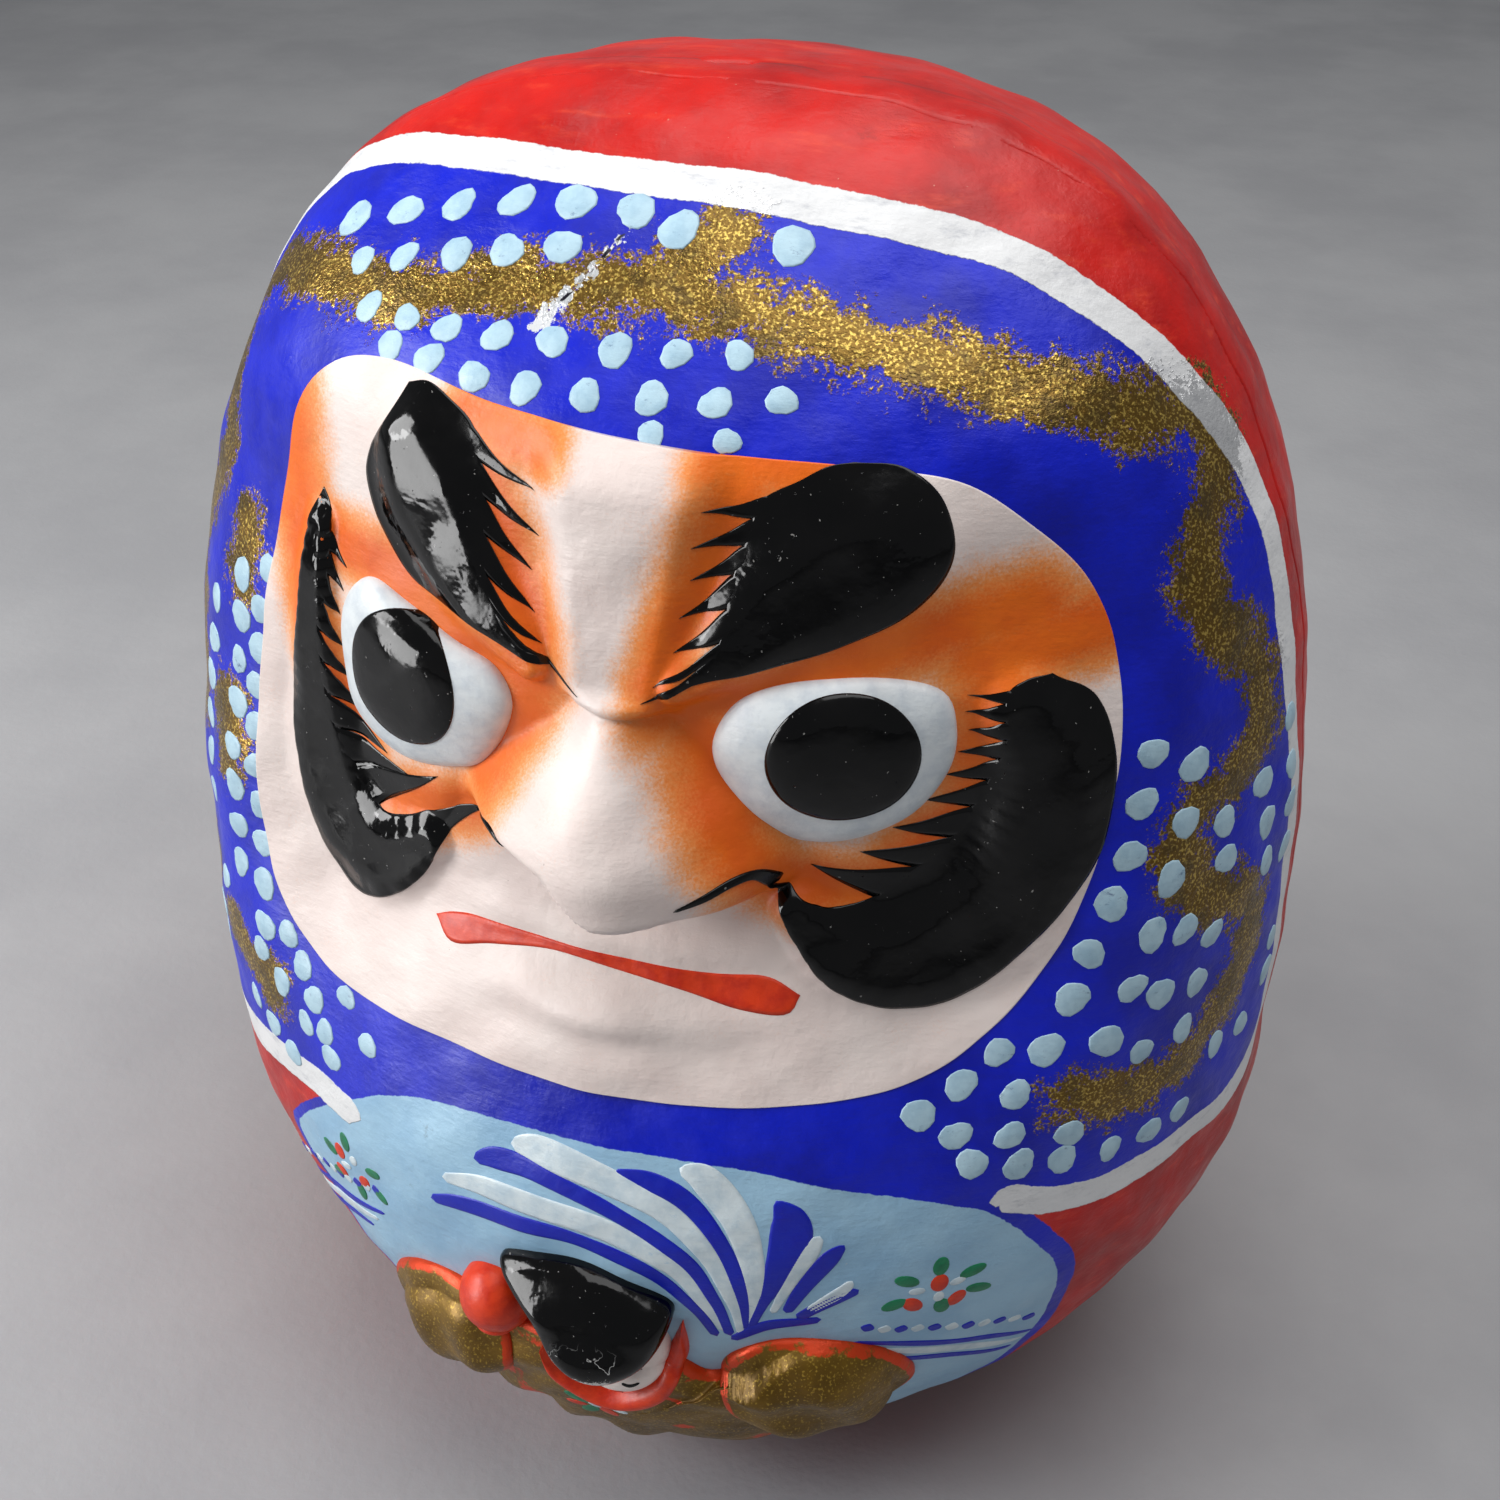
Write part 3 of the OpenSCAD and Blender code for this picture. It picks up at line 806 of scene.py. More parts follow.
crack_gap, _ = line_distance(shell_points, front(*as_angles(crack).T))
chips = np.maximum(chips, 0.5 * np.exp(-crack_gap / 2.2))
print("dust on", (bronze > 0).mean().round(2), "of the front shell")

# %% [markdown]
# ## The two shells and the strip over their seam
# Each shell is an outer grid and the same grid drawn in by the wall's thickness. The strip is
# narrow paper over the joint, which shows through the paint as a faint ridge down both sides
# and over the crown.

# %% Shells
def drawn_in(p):
    """Inner face of a shell: the outer one shrunk towards the middle of the foot, whose
    paper is a millimetre thick."""
    x = p[..., 0] * (1 - wall / half_w)
    y = p[..., 1] * (1 - wall / half_w)
    z = foot_paper_t + (p[..., 2] - foot_paper_t) * (1 - wall / body_h)
    return np.stack([x, y, z], -1)


fields = {"hood": hood_in, "bag": bag_in, "bag_rim": bag_rim, "border": border,
          "bronze": bronze, "chips": chips, "scratch": scratch}
fields = {name: values.reshape(rows, cols) for name, values in fields.items()}
outer = skin(shell_theta[None], shell_z[:, None])
piece("front_shell", [closed(outer, drawn_in(outer), **fields)], front_paint,
      ["shell_front"])
back_theta = np.radians(np.linspace(90, 270, 100))
outer = skin(back_theta[None], shell_z[::2, None], half=back)
piece("back_shell", [closed(outer, drawn_in(outer))], red_paint, ["shell_back"])

# %% Seam strip
def outside(x, y, z):
    """How far a point is outside the shell: the sum of its oval shares, less one."""
    deep = np.where(y < 0, front_d * share(z, *front_profile), back_d * share(z, *back_profile))
    power = np.where(y < 0, plan_n, 2)
    wide = np.maximum(side_at(z), 0.01)
    return (abs(x) / wide) ** power + (abs(y) / np.maximum(deep, 0.01)) ** power - 1


def pressed(strip, away_from):
    """Moves the strip's points inwards until they lie on the shell: the right distance is
    found by halving, again and again, the range that it must lie in."""
    near = np.zeros(strip.shape[:2])
    far = near + 6
    for _ in range(18):
        half_way = (near + far) / 2
        out = outside(*np.moveaxis(strip - half_way[..., None] * away_from, -1, 0)) > 0
        near = np.where(out, half_way, near)
        far = np.where(out, far, half_way)
    return strip - near[..., None] * away_from


strip_half = 8
strip_t = 0.9
strip_z = shell_z[6:-1]
climb = np.stack([side_at(strip_z), strip_z], -1)
path = np.vstack([climb, [[0, body_h]], (climb * [-1, 1])[::-1]])
way = np.gradient(path, axis=0)
way /= np.linalg.norm(way, axis=1, keepdims=True)
across = np.linspace(-1, 1, 9)[None]
row = np.arange(len(path))
ragged = strip_half + 0.5 * np.sin(row * 0.37) + 0.3 * np.sin(row * 0.91)
strip = np.stack([path[:, :1] + 0 * across, ragged[:, None] * across, path[:, 1:] + 0 * across], -1)
away_from = np.stack([way[:, 1], 0 * way[:, 0], -way[:, 0]], -1)[:, None]
strip = pressed(strip, away_from)
rise = 0.14 - 0.13 * across ** 2 + lumps(strip)
top = strip + away_from * rise[..., None]
under = strip + away_from * (rise - strip_t)[..., None]
piece("seam_strip", [closed(top, under)], make_red("seam_strip_paint"), ["seam_tape"])

# %% [markdown]
# ## Face
# The face is carved deepest: a column rises between the brows and stops at a crisp crease, a
# narrow bridge starts below it and swells to the tip and the wings. It is one thick coat of
# chalk, so it is one sheet from a middle point out to the face's outline, and the features
# are added to it as a second relief in front of the shell's own.

# %% Relief of the face
brow_spines = {1: [(21, 327, 6), (30, 335, 11), (45, 348, 18), (62, 358, 23), (68, 362, 21)],
               -1: [(-22, 325, 5), (-32, 334, 10), (-44, 348, 15), (-54, 363, 18), (-60, 376, 13)]}
cheek_spines = {1: [(107, 318, 13), (115, 300, 17), (113, 276, 19), (101, 254, 20), (82, 243, 17),
                    (63, 248, 12), (52, 258, 8)],
                -1: [(-95, 343, 6), (-98, 320, 9), (-99, 292, 12), (-98, 265, 16), (-88, 248, 17),
                     (-74, 246, 14), (-60, 256, 8)]}
spines = [line[side] for line in (brow_spines, cheek_spines) for side in (1, -1)]
pad_h = 4.5


def swell(x, z, spine):
    """A low pad along a spine of points x, z and half width: full height close to the spine,
    eased down to nothing a little past the half width of its nearest point."""
    line = curve(spine, 24)
    away = np.hypot(x[..., None] - line[:, 0], z[..., None] - line[:, 1]) / line[:, 2]
    return pad_h * (1 - ease(0.35, 1.15, away.min(-1)))


def feature(x, z):
    """Height of the features: the brow column, the bridge that swells to a nose whose lower
    edge is a V, the wings and the hollows beside them, lips, chin, and the four black pads."""
    column = 6.5 * (1 - ease(8 + 0.13 * (z - 320), 20 + 0.13 * (z - 320), abs(x - 3)))
    column = column * ease(317, 321, z) * (1 - ease(374, 392, z))
    half = 10 + 31 * ease(322, 277, z)
    low = 260 + 11 * ease(6, -14, x) + 0.05 * abs(x - 6)
    rise = 32 * (0.13 + 0.87 * ease(330, 277, z)) * ease(0, 8, z - low) * (1 - ease(315, 326, z))
    shape = np.cos(np.pi / 2 * np.clip(abs(x - 3) / (half * 1.25), 0, 1)) ** 1.25
    wings = 4.5 * (hump(x, 36, 9) + hump(x, -30, 9)) * hump(z, 274, 8)
    creases = -2.2 * (hump(x, 50, 6) + hump(x, -46, 6)) * hump(z, 268, 14)
    lips = 2.2 * hump(z, 243, 5) * hump(x, 0, 40) + 2.6 * hump(z, 225, 6) * hump(x, 0, 30)
    chin = 3 * hump(z, 211, 8) * hump(x, 0, 26)
    bags = 2.2 * (hump(x, 58, 26) + hump(x, -58, 26)) * hump(z, 276, 9)
    bare = np.maximum(column + rise * shape + wings + creases + lips + chin + bags, 0)
    return bare + np.maximum.reduce([swell(x, z, spine) for spine in spines])


print("nose tip stands out by", round(float(feature(np.array([3.0]), np.array([272.0]))[0]), 1))

# %% Face coat
face_edge = [(-92, 385), (-70, 391), (-35, 388), (20, 385), (60, 383), (84, 379), (102, 367),
             (117, 351), (127, 329), (131, 300), (128, 268), (119, 241), (106, 221), (88, 208),
             (54, 203), (0, 202), (-50, 202), (-88, 201), (-108, 208), (-121, 224), (-126, 248),
             (-125, 272), (-121, 300), (-113, 336), (-104, 370)]
# passes of the spray can: x and z of both ends, and how wide the spray was
spray_lines = [(-106, 372, -104, 342, 13), (-104, 342, -96, 300, 11), (-96, 300, -80, 268, 11),
               (-92, 340, -62, 338, 11), (-64, 332, -22, 320, 11), (-76, 264, -44, 273, 11),
               (-24, 312, -38, 288, 10), (-40, 374, -24, 332, 13), (-44, 384, -20, 382, 8),
               (32, 378, 24, 350, 12), (26, 384, 54, 382, 9), (21, 350, 14, 328, 9),
               (17, 319, 70, 337, 11), (24, 314, 36, 288, 11), (38, 284, 50, 268, 9),
               (46, 268, 72, 264, 12), (74, 266, 96, 290, 12), (96, 290, 98, 332, 13),
               (64, 338, 104, 346, 13), (92, 334, 122, 340, 12)]
face_t = 0.4
face_edge_t = 0.05
face_middle = (0, 285)
face_flat = disc(face_middle, curve(face_edge, 300, True), 112)
x = face_flat[..., 0]
z = face_flat[..., 1]
spray = np.zeros(x.shape)
for x0, z0, x1, z1, reach in spray_lines:
    span = np.array([x1 - x0, z1 - z0], float)
    along = np.clip(((x - x0) * span[0] + (z - z0) * span[1]) / (span @ span), 0, 1)
    gap = np.hypot(x - x0 - along * span[0], z - z0 - along * span[1])
    spray = np.maximum(spray, 1 - np.clip((gap / reach - 0.15) / 1.5, 0, 1))
soot = 0.6 * hump(x, 6, 9) * hump(z, 264, 4) + 0.6 * hump(x, 28, 9) * hump(z, 262, 3)
soot = soot + 0.5 * hump(x, -14, 3) * hump(z, 272, 6) + 0.3 * hump(z, 206, 5)
thick = face_t * np.ones(x.shape)
thick[-1] = face_edge_t
face = lay(face_flat, thick, feature, wrap=True, spray=spray, soot=soot)
piece("face_coat", [face], face_paint, ["nose"])

# %% [markdown]
# ## Eyes
# Each eye is a white dome with a raised black pupil. The dome is an egg-shaped pad, rounded
# down at its rim like a pillow. The pupil lies on the dome, so the dome's height is part of
# what it is laid on.

# %% Eyes and pupils
def pillow(height, d, power=2.4):
    """Full height in the middle, rounded down to nothing at d = 1."""
    return height * np.sqrt(np.maximum(1 - np.clip(d, 0, 1) ** power, 0))


def share_out(flat, middle, outline):
    """How far out each flat point lies: its distance from the middle over the distance of
    the outline in the same direction."""
    rim = outline - middle
    turn = np.arctan2(rim[:, 1], rim[:, 0])
    reach = np.linalg.norm(rim, axis=1)
    away = flat - middle
    limit = np.interp(np.arctan2(away[..., 1], away[..., 0]), turn, reach, period=2 * np.pi)
    return np.linalg.norm(away, axis=-1) / limit


eye_edges = {1: [(28, 310), (30, 299), (37, 287), (50, 280), (66, 281), (80, 289), (88, 302),
                 (89, 315), (84, 326), (66, 330), (46, 328), (34, 322)],
             -1: [(-29, 309), (-33, 320), (-46, 325), (-62, 331), (-75, 334), (-84, 326),
                  (-87, 312), (-86, 293), (-80, 284), (-66, 280), (-50, 283), (-38, 290)]}
# middle, half width and half height
pupils = {1: ((61, 309), 19, 18.5), -1: ((-61, 310), 17.5, 20)}
side_names = {1: "left", -1: "right"}
eye_across = 59
eye_up = 307.0
eye_h = 7
eye_power = 2.8
eye_coat = 0.3
lens_h = 1.3
eye_sink = 1.5


def eye_high(flat, middle, outline):
    """Height of an eye's dome at each flat place."""
    return eye_coat + pillow(eye_h, share_out(flat, middle, outline), eye_power)


for side, edge in eye_edges.items():
    name = side_names[side]
    middle = np.array([side * eye_across, eye_up])
    outline = curve(edge, 96, True)
    flat = disc(middle, outline, 26)
    white = lay(flat, eye_high(flat, middle, outline), sink=eye_sink, wrap=True)
    piece("eye_white_" + name, [white], eye_white, ["eye_" + name])
    centre, rx, rz = pupils[side]
    rim = oval(centre, rx, rz, 80, side * 8)
    spot = disc(centre, rim, 18)
    seat = eye_high(spot, middle, outline)
    lens = 0.1 + pillow(lens_h, share_out(spot, centre, rim), 3.5)
    black = lay(spot, seat + lens, sink=eye_sink - seat, wrap=True)
    piece("pupil_" + name, [black], black_gloss, ["eye_" + name])

# %% [markdown]
# ## Brows and whiskers
# The brows and the crescents beside the eyes are low pads of pulp under thick black. The
# pads are in the face's relief. The black on each lies between two edges that share their
# ends, so a brow is a long drop and the crescent a bent one. From each runs a comb of pointed
# brush strokes whose roots touch, so that the face's orange shows between them as wedges.

# %% Combs of pointed strokes
# Thickness of the black, of a comb's strokes and of their edges. All are thicker than the
# face's coat, so that none of the black sinks into it.
black_t = 0.8
comb_t = 0.72
black_edge = 0.6


def through(first, middle, last, count):
    """Evenly spaced values of the parabola that starts at first, passes middle half way and
    ends at last."""
    s = np.linspace(0, 1, count)
    return first * (1 - s) * (1 - 2 * s) + 4 * middle * s * (1 - s) + last * s * (2 * s - 1)


def comb(edge, side, count, shares, lengths, leans, dig=5.0, bow=1.0):
    """Pointed strokes side by side. Their roots lie at shares of the edge's length. Each tip
    lies a length away from the middle of its roots, towards the nose and down by the lean in
    degrees, and the stroke bows by a bow's length. Shares, lengths and leans each change along
    the comb as a parabola, and a sine wave makes the lengths a little uneven."""
    line = curve(edge, 400)
    roots = line[np.round(through(*shares, count + 1) * 399).astype(int)]
    lean = np.radians(through(*leans, count))
    ways = np.stack([side * np.cos(lean), np.sin(lean)], -1)
    reach = through(*lengths, count) * (1 + 0.05 * np.sin(2.4 * np.arange(count)))
    strokes = []
    for root_a, root_b, way, length in zip(roots[:-1], roots[1:], ways, reach):
        tip = (root_a + root_b) / 2 - length * way
        square = np.array([-way[1], way[0]])
        bulge = bow * square * np.sign(square @ (root_b - root_a))
        edge_a = [root_a + dig * way, root_a, (root_a + tip) / 2 + bulge, tip]
        edge_b = [root_b + dig * way, root_b, (root_b + tip) / 2 + 0.6 * bulge, tip]
        flat = between(edge_a, edge_b, 18, 6)
        strokes.append(lay(flat, comb_t, feature, sink=0.5, edge=black_edge))
    return strokes


print("a parabola through 1, 4 and 2:", through(1, 4, 2, 5).round(2))

# %% Black on the pads
brow_outer = {1: [(11, 323), (28, 330), (51, 336), (69, 344), (80, 353), (84, 364), (80, 376),
                  (70, 383), (58, 384)],
              -1: [(-6, 322), (-18, 326), (-38, 333), (-60, 338), (-71, 350), (-76, 361), (-74, 370),
                   (-68, 379), (-63, 388)]}
brow_inner = {1: [(11, 323), (26, 334), (31, 344), (31, 354), (34, 366), (37, 375), (46, 380),
                  (52, 383), (58, 384)],
              -1: [(-6, 322), (-26, 332), (-32, 341), (-35, 350), (-36, 366), (-38, 376),
                   (-42, 383), (-50, 387), (-57, 389), (-63, 388)]}
# number of strokes, then shares, lengths and leans: first, middle and last
brow_combs = {1: (6, (0.75, 0.5, 0.205), (13.5, 13, 17), (2, 27, 33)),
              -1: (6, (0.765, 0.5, 0.215), (19.5, 18.5, 19), (22, 44, 36))}
cheek_outer = {1: [(111, 329), (123, 321), (130, 303), (130, 280), (120, 258), (100, 234),
                   (83, 229), (64, 236), (53, 250), (47, 262), (44, 273)],
               -1: [(-93, 353), (-98, 344), (-101, 326), (-105, 306), (-110, 285), (-109, 264),
                    (-104, 244), (-94, 231), (-84, 229), (-72, 235), (-61, 246), (-54, 259),
                    (-46, 268), (-38, 274)]}
cheek_inner = {1: [(111, 329), (105, 328), (101, 324), (102, 312), (98, 298), (90, 280),
                   (79, 269), (71, 261), (62, 259), (54, 262), (48, 267), (44, 273)],
               -1: [(-93, 353), (-91, 349), (-90, 342), (-92, 326), (-95, 312), (-95, 290),
                    (-92, 278), (-85, 266), (-77, 258), (-66, 261), (-58, 266), (-48, 271), (-38, 274)]}
cheek_combs = {1: (9, (0.087, 0.29, 0.72), (10.5, 12.5, 22), (0, 9, -16)),
               -1: (9, (0.078, 0.315, 0.688), (8.5, 13.5, 31), (50, 54, -27))}


def black_pad(name, outer, inner, along, strokes):
    """The black on one pad: a coat between its two edges, and the strokes of its comb."""
    body = lay(between(outer, inner, along, 40), black_t, feature, sink=1.5, edge=black_edge)
    piece(name + "_pad", [body] + strokes, black_gloss, [name])


for side, name in side_names.items():
    black_pad("brow_" + name, brow_outer[side], brow_inner[side], 110,
              comb(brow_inner[side], side, *brow_combs[side]))
    black_pad("cheek_" + name, cheek_outer[side], cheek_inner[side], 140,
              comb(cheek_inner[side], side, *cheek_combs[side], dig=4, bow=0.7))

# %% [markdown]
# ## Mouth and nostrils
# The mouth is one stroke that goes down at both ends and ends in a blob, where the brush was
# pressed. The nostril lines run from under the wings towards the crescents, and a slip of the
# red brush stays as a small mark under the nose.

# %% Mouth and nostril strokes
mouth = between([(-57, 234), (-50, 237), (-38, 239), (-4, 240), (30, 238), (45, 238), (55, 233)],
                [(-57, 234), (-50, 229), (-36, 233), (-16, 237), (4, 236), (24, 233), (40, 229),
                 (52, 228), (55, 233)], 70, 9)
nostril_lines = [[(25, 272, 0.6), (32, 275, 2), (38, 277, 2.4), (43, 276, 2.4), (47, 270, 4)],
                 [(-41, 274, 1.5), (-35, 278, 3), (-29, 279, 3.6), (-22, 277, 0.8)]]
mark_line = ribbon([(6, 256, 1.5), (12, 256.5, 4), (18, 258, 1.5)], 12, 5)
nostrils = [lay(ribbon(line, 30), 0.9, feature, edge=0.55) for line in nostril_lines]
piece("mouth_stroke", [lay(mouth, 0.8, feature, edge=0.5)], vermilion)
piece("nostril_strokes", nostrils, black_gloss)
piece("nostril_red_mark", [lay(mark_line, 0.8, feature, sink=0.4)], vermilion)

# %% [markdown]
# ## Dots on the hood
# The hood's pattern copies a tie-dyed cloth: rows of round, uneven dots. Each was one press of
# a full brush, so it is a low, lumpy drop. A row is given by its two ends, how far it bows,
# how many dots it has and their radius, and a seeded shake keeps them from looking ruled.

# %% Rows of dots
# angle in degrees and height of both ends, how far the row bows, number of dots and radius
dot_rows = [
    ((-55, 414), (-6, 428), (0, 3), 6, 5.3), ((-46, 406.5), (-14, 418.5), (0, 1), 5, 4.7),
    ((1, 425), (17, 424), (0, 0), 2, 5.8), ((-39, 399), (11, 403.5), (0, 0), 8, 4.4),
    ((-32, 393), (16, 395.5), (0, -1), 8, 4.3), ((3, 387), (11, 388), (0, 0), 2, 3.8),
    ((54, 304), (43, 218), (1, 0), 7, 5.0), ((60, 296), (50, 218), (1, 0), 6, 5.1),
    ((59, 246), (55, 208), (0, 0), 3, 5.0), ((64, 238), (61, 209), (0, 0), 3, 5.0),
    ((38, 216), (30, 199), (0, 0), 3, 4.8), ((40, 204), (34, 192), (0, 0), 2, 4.9),
    ((36, 183), (63, 174), (0, -2), 6, 4.9), ((40, 191), (47, 187), (0, 0), 2, 4.9),
    ((65, 274), (66, 261), (0, 0), 2, 4.8), ((73, 277), (75, 249), (0, 0), 3, 4.8),
    ((80, 290), (81, 245), (0, 0), 4, 4.8), ((80, 212), (79, 200), (0, 0), 2, 4.8),
    ((68, 191), (74, 188), (0, 0), 2, 4.8),
    ((-45, 321), (-43, 205), (-1, 0), 10, 4.7), ((-50, 315), (-49, 219), (0, 0), 8, 4.7),
    ((-39, 206), (-31, 174), (1, 0), 5, 4.5), ((-44, 195), (-36, 180), (0, 0), 3, 4.5),
    ((-47, 171), (-38, 165), (0, 0), 3, 4.4), ((-29, 197), (-26, 187), (0, 0), 2, 4.3),
    ((-57, 300), (-58, 232), (-1, 0), 6, 4.8), ((-54, 206), (-58, 176), (0, 0), 3, 4.8),
    ((-76, 292), (-78, 236), (0, 0), 5, 4.8), ((-66, 190), (-72, 184), (0, 0), 2, 4.8)]


def dot(theta, z, radius, turns=16):
    """A low drop of paint: a disc of three rings on the shell, its outline shaken by two
    slow waves and a quick one, its size turned into angle and height by the shell's own
    step lengths."""
    per_theta = np.linalg.norm(front(theta + 0.01, z) - front(theta - 0.01, z)) / 0.02
    per_z = np.linalg.norm(front(theta, z + 1) - front(theta, z - 1)) / 2
    a = np.linspace(0, 2 * np.pi, turns, endpoint=False)
    r = np.ones(turns)
    for waves, size in ((2, 0.09), (3, 0.06), (7, 0.035)):
        r += size * np.sin(waves * a + rng.uniform(0, 6.3))
    r *= radius * rng.uniform(0.88, 1.08)
    s = np.array([0, 0.9, 1.0])[:, None]
    grid_theta = theta + s * (r * np.cos(a))[::-1] / per_theta
    grid_z = z + s * (r * np.sin(a))[::-1] / per_z
    high = np.array([0.26, 0.26, 0.1])[:, None] + 0 * grid_z
    under = skin(grid_theta, grid_z, -0.5 + 0 * high)
    return closed(skin(grid_theta, grid_z, high), under, True)


dots = []
for start, end, bow, count, radius in dot_rows:
    for step in np.linspace(0, 1, count):
        lean = 4 * step * (1 - step)
        theta = start[0] + (end[0] - start[0]) * step + bow[0] * lean + rng.normal(0, 0.25)
        z = start[1] + (end[1] - start[1]) * step + bow[1] * lean + rng.normal(0, 0.45)
        dots.append(dot(math.radians(theta), z, radius))
piece("hood_dots", dots, dot_blue)
print(len(dots), "dots")

# %% [markdown]
# ## Strokes on the bag
# Fans of blue and white strokes gather the bag's cloth towards its neck, and a row of beads
# and two lines edge it on both sides. A stroke is its midline with a width at each point, so
# the pressure of the brush is part of the list.

# %% Fan of strokes
# x, height and width of the stroke at each point
blue_strokes = [
    [(-52, 149, 3), (-40, 153, 6), (-20, 155, 6), (0, 155, 5), (20, 149, 5), (34, 135, 4), (41, 122, 3)],
    [(-36, 171, 3), (-28, 174, 7), (-14, 174, 6), (9, 168, 5), (30, 156, 5), (40, 140, 4), (45, 123, 3)],
    [(9, 180, 3), (20, 179, 6), (31, 174, 6), (41, 162, 5), (48, 144, 5), (50, 126, 3)],
    [(56, 176, 2), (60, 170, 10), (61, 162, 12), (58, 150, 8), (54, 138, 4), (50, 124, 2)],
    [(76, 160, 2), (72, 155, 6), (65, 143, 5), (61, 134, 3)],
    [(81, 142, 3), (74, 138, 5), (64, 131, 4)], [(45, 121, 3), (56, 128, 5), (71, 129, 3)]]
white_strokes = [
    [(-47, 160, 3), (-32, 163, 7), (-14, 163, 8), (8, 161, 8), (28, 151, 6), (38, 136, 4), (43, 125, 2)],
    [(-24, 180, 4), (-14, 181, 9), (4, 178, 9), (24, 171, 7), (38, 157, 6), (46, 138, 4), (48, 124, 2)],
    [(28, 184, 3), (36, 181, 9), (46, 169, 9), (51, 153, 7), (52, 138, 5), (51, 126, 2)],
    [(69, 164, 3), (66, 157, 6), (61, 145, 4), (57, 134, 2)],
    [(79, 146, 2), (75, 140, 5), (65, 132, 3)]]
print(len(blue_strokes), "blue and", len(white_strokes), "white strokes in the fan")

# %% Edging and beads
blue_lines = [[(80, 116, 1.5), (98, 109, 3), (116, 100, 3), (130, 88, 1.5)],
              [(88, 103, 1.5), (100, 98, 3), (113, 89, 3), (124, 80, 1.5)]]
white_lines = [[(84, 110, 1.5), (99, 104, 4), (114, 95, 4), (127, 84, 1.5)]]
bead_line = curve([(82, 124), (96, 119), (110, 114), (122, 108), (131, 101)], 12)
far_turn = -0.94    # the far side's lines are mirrored and a little closer together
far_lift = 8
far_bead_turn = -0.93
far_bead_lift = 10
bead_share = 0.8    # how much of its step a bead fills


def mirrored(lines):
    """The same lines on the doll's right side, a little higher."""
    return [np.array(line) * [far_turn, 1, 1] + [0, far_lift, 0] for line in lines]


beads = [[], []]
for line in (bead_line, bead_line * [far_bead_turn, 1] + [0, far_bead_lift]):
    for k, (x0, z0) in enumerate(line[:-1]):
        x1, z1 = line[k + 1]
        a = np.array([x0, z0, 1.5])
        b = np.array([x0 + bead_share * (x1 - x0), z0 + bead_share * (z1 - z0), 1.5])
        beads[k % 2].append([a, (a + b) / 2 + [0, 0, 2.6], b])
blue_strokes += blue_lines + mirrored(blue_lines) + beads[0]
white_strokes += white_lines + mirrored(white_lines) + beads[1]
for name, lines, paint in (("blue", blue_strokes, stroke_blue), ("white", white_strokes, stroke_white)):
    coats = [lay(ribbon(line, 12 * len(line) - 12), 0.26) for line in lines]
    piece("bag_" + name + "_strokes", coats, paint)

# %% Flowers on the bag
def petals(centre, places, length, width, seat=None):
    """One drop of paint at each place, pointing at the centre of the flower. seat(flat) is
    the height of what the drops lie on, if they don't lie on the shell."""
    drops = []
    for place in np.array(places, float):
        way = np.array(centre) - place
        tilt = math.degrees(math.atan2(way[1], way[0]))
        flat = disc(place, oval(place, length / 2, width / 2, 16, tilt), 5)
        below = 0 if seat is None else seat(flat)
        high = below + np.linspace(0.4, 0.1, 5)[:, None] + 0 * flat[..., 0]
        drops.append(lay(flat, high, sink=0.8 - below, wrap=True))
    return drops


left_flower = (103, 138)
right_flower = (-87, 137)
left_greens = [(103, 147), (94, 143), (112, 142), (114, 133), (91, 133), (104, 129)]
right_greens = [(-97, 139), (-89, 147), (-95, 129), (-78, 141), (-85, 127), (-76, 132)]
left_reds = [(103, 140), (96, 132), (108, 131)]
right_reds = [(-92, 141), (-93, 131), (-83, 133)]
left_whites = [(108, 139), (97, 138), (103, 134)]
right_whites = [(-86, 141), (-90, 136)]
greens = petals(left_flower, left_greens, 7.5, 4.5) + petals(right_flower, right_greens, 7, 4.2)
reds = petals((103, 120), left_reds, 7, 5) + petals((-87, 120), right_reds, 6, 4.5)
whites = petals(left_flower, left_whites, 4.5, 3) + petals(right_flower, right_whites, 4.5, 3)
piece("flower_green_petals", greens, leaf_green)
piece("flower_red_petals", reds, vermilion)
piece("flower_white_petals", whites, stroke_white)

# %% [markdown]
# ## The lucky figure on the belly
# A small figure in a soft black cap, with a mallet in its hand and the great bag over its
# shoulder, is pressed from pulp and glued low on the belly. It is built in the order it was
# pressed: the spread robe first, then whatever lies on it. One function says how high the
# robe stands at any place, and every other part is seated on that.

# %% Robe
robe_low, robe_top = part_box("figure_robe")
robe_middle = np.array([(robe_low.x + robe_top.x) * 500, (robe_low.z + robe_top.z) * 500])
robe_edge = [(-70, 86), (-66, 98), (-55, 106), (-38, 110), (-16, 110), (10, 112), (28, 110),
             (38, 101), (50, 108), (66, 119), (84, 112), (90, 96), (88, 80), (78, 64), (62, 56),
             (48, 42), (30, 48), (14, 38), (-4, 46), (-20, 44), (-32, 56), (-46, 56), (-54, 70),
             (-66, 78)]
robe_rim = curve(robe_edge, 200, True)
robe_h = 8
robe_coat = 0.3
robe_sink = 1.5
fold_h = 1.3


def fold_wave(turn):
    """Folds round the collar: the cosine of thirteen times the angle, shaken by a sine."""
    return np.cos(13 * turn + 1.5 * np.sin(3 * turn))


def robe_high(flat):
    """Height of the robe: a pillow over its outline, with folds that fan out from the
    collar, deeper towards the hem. Gives the angle and how far out a place is, too."""
    out = share_out(flat, robe_middle, robe_rim)
    away = flat - np.array([8.0, 106.0])
    turn = np.arctan2(away[..., 1], away[..., 0])
    folds = fold_h * fold_wave(turn) * ease(0.15, 0.7, out)
    folds = folds * ease(16, 34, np.linalg.norm(away, axis=-1))
    inside_rim = np.where(out < 1, 1 - np.clip(out, 0, 1) ** 6, 0)
    return pillow(robe_h, out, 3.2) + folds * inside_rim, turn, out


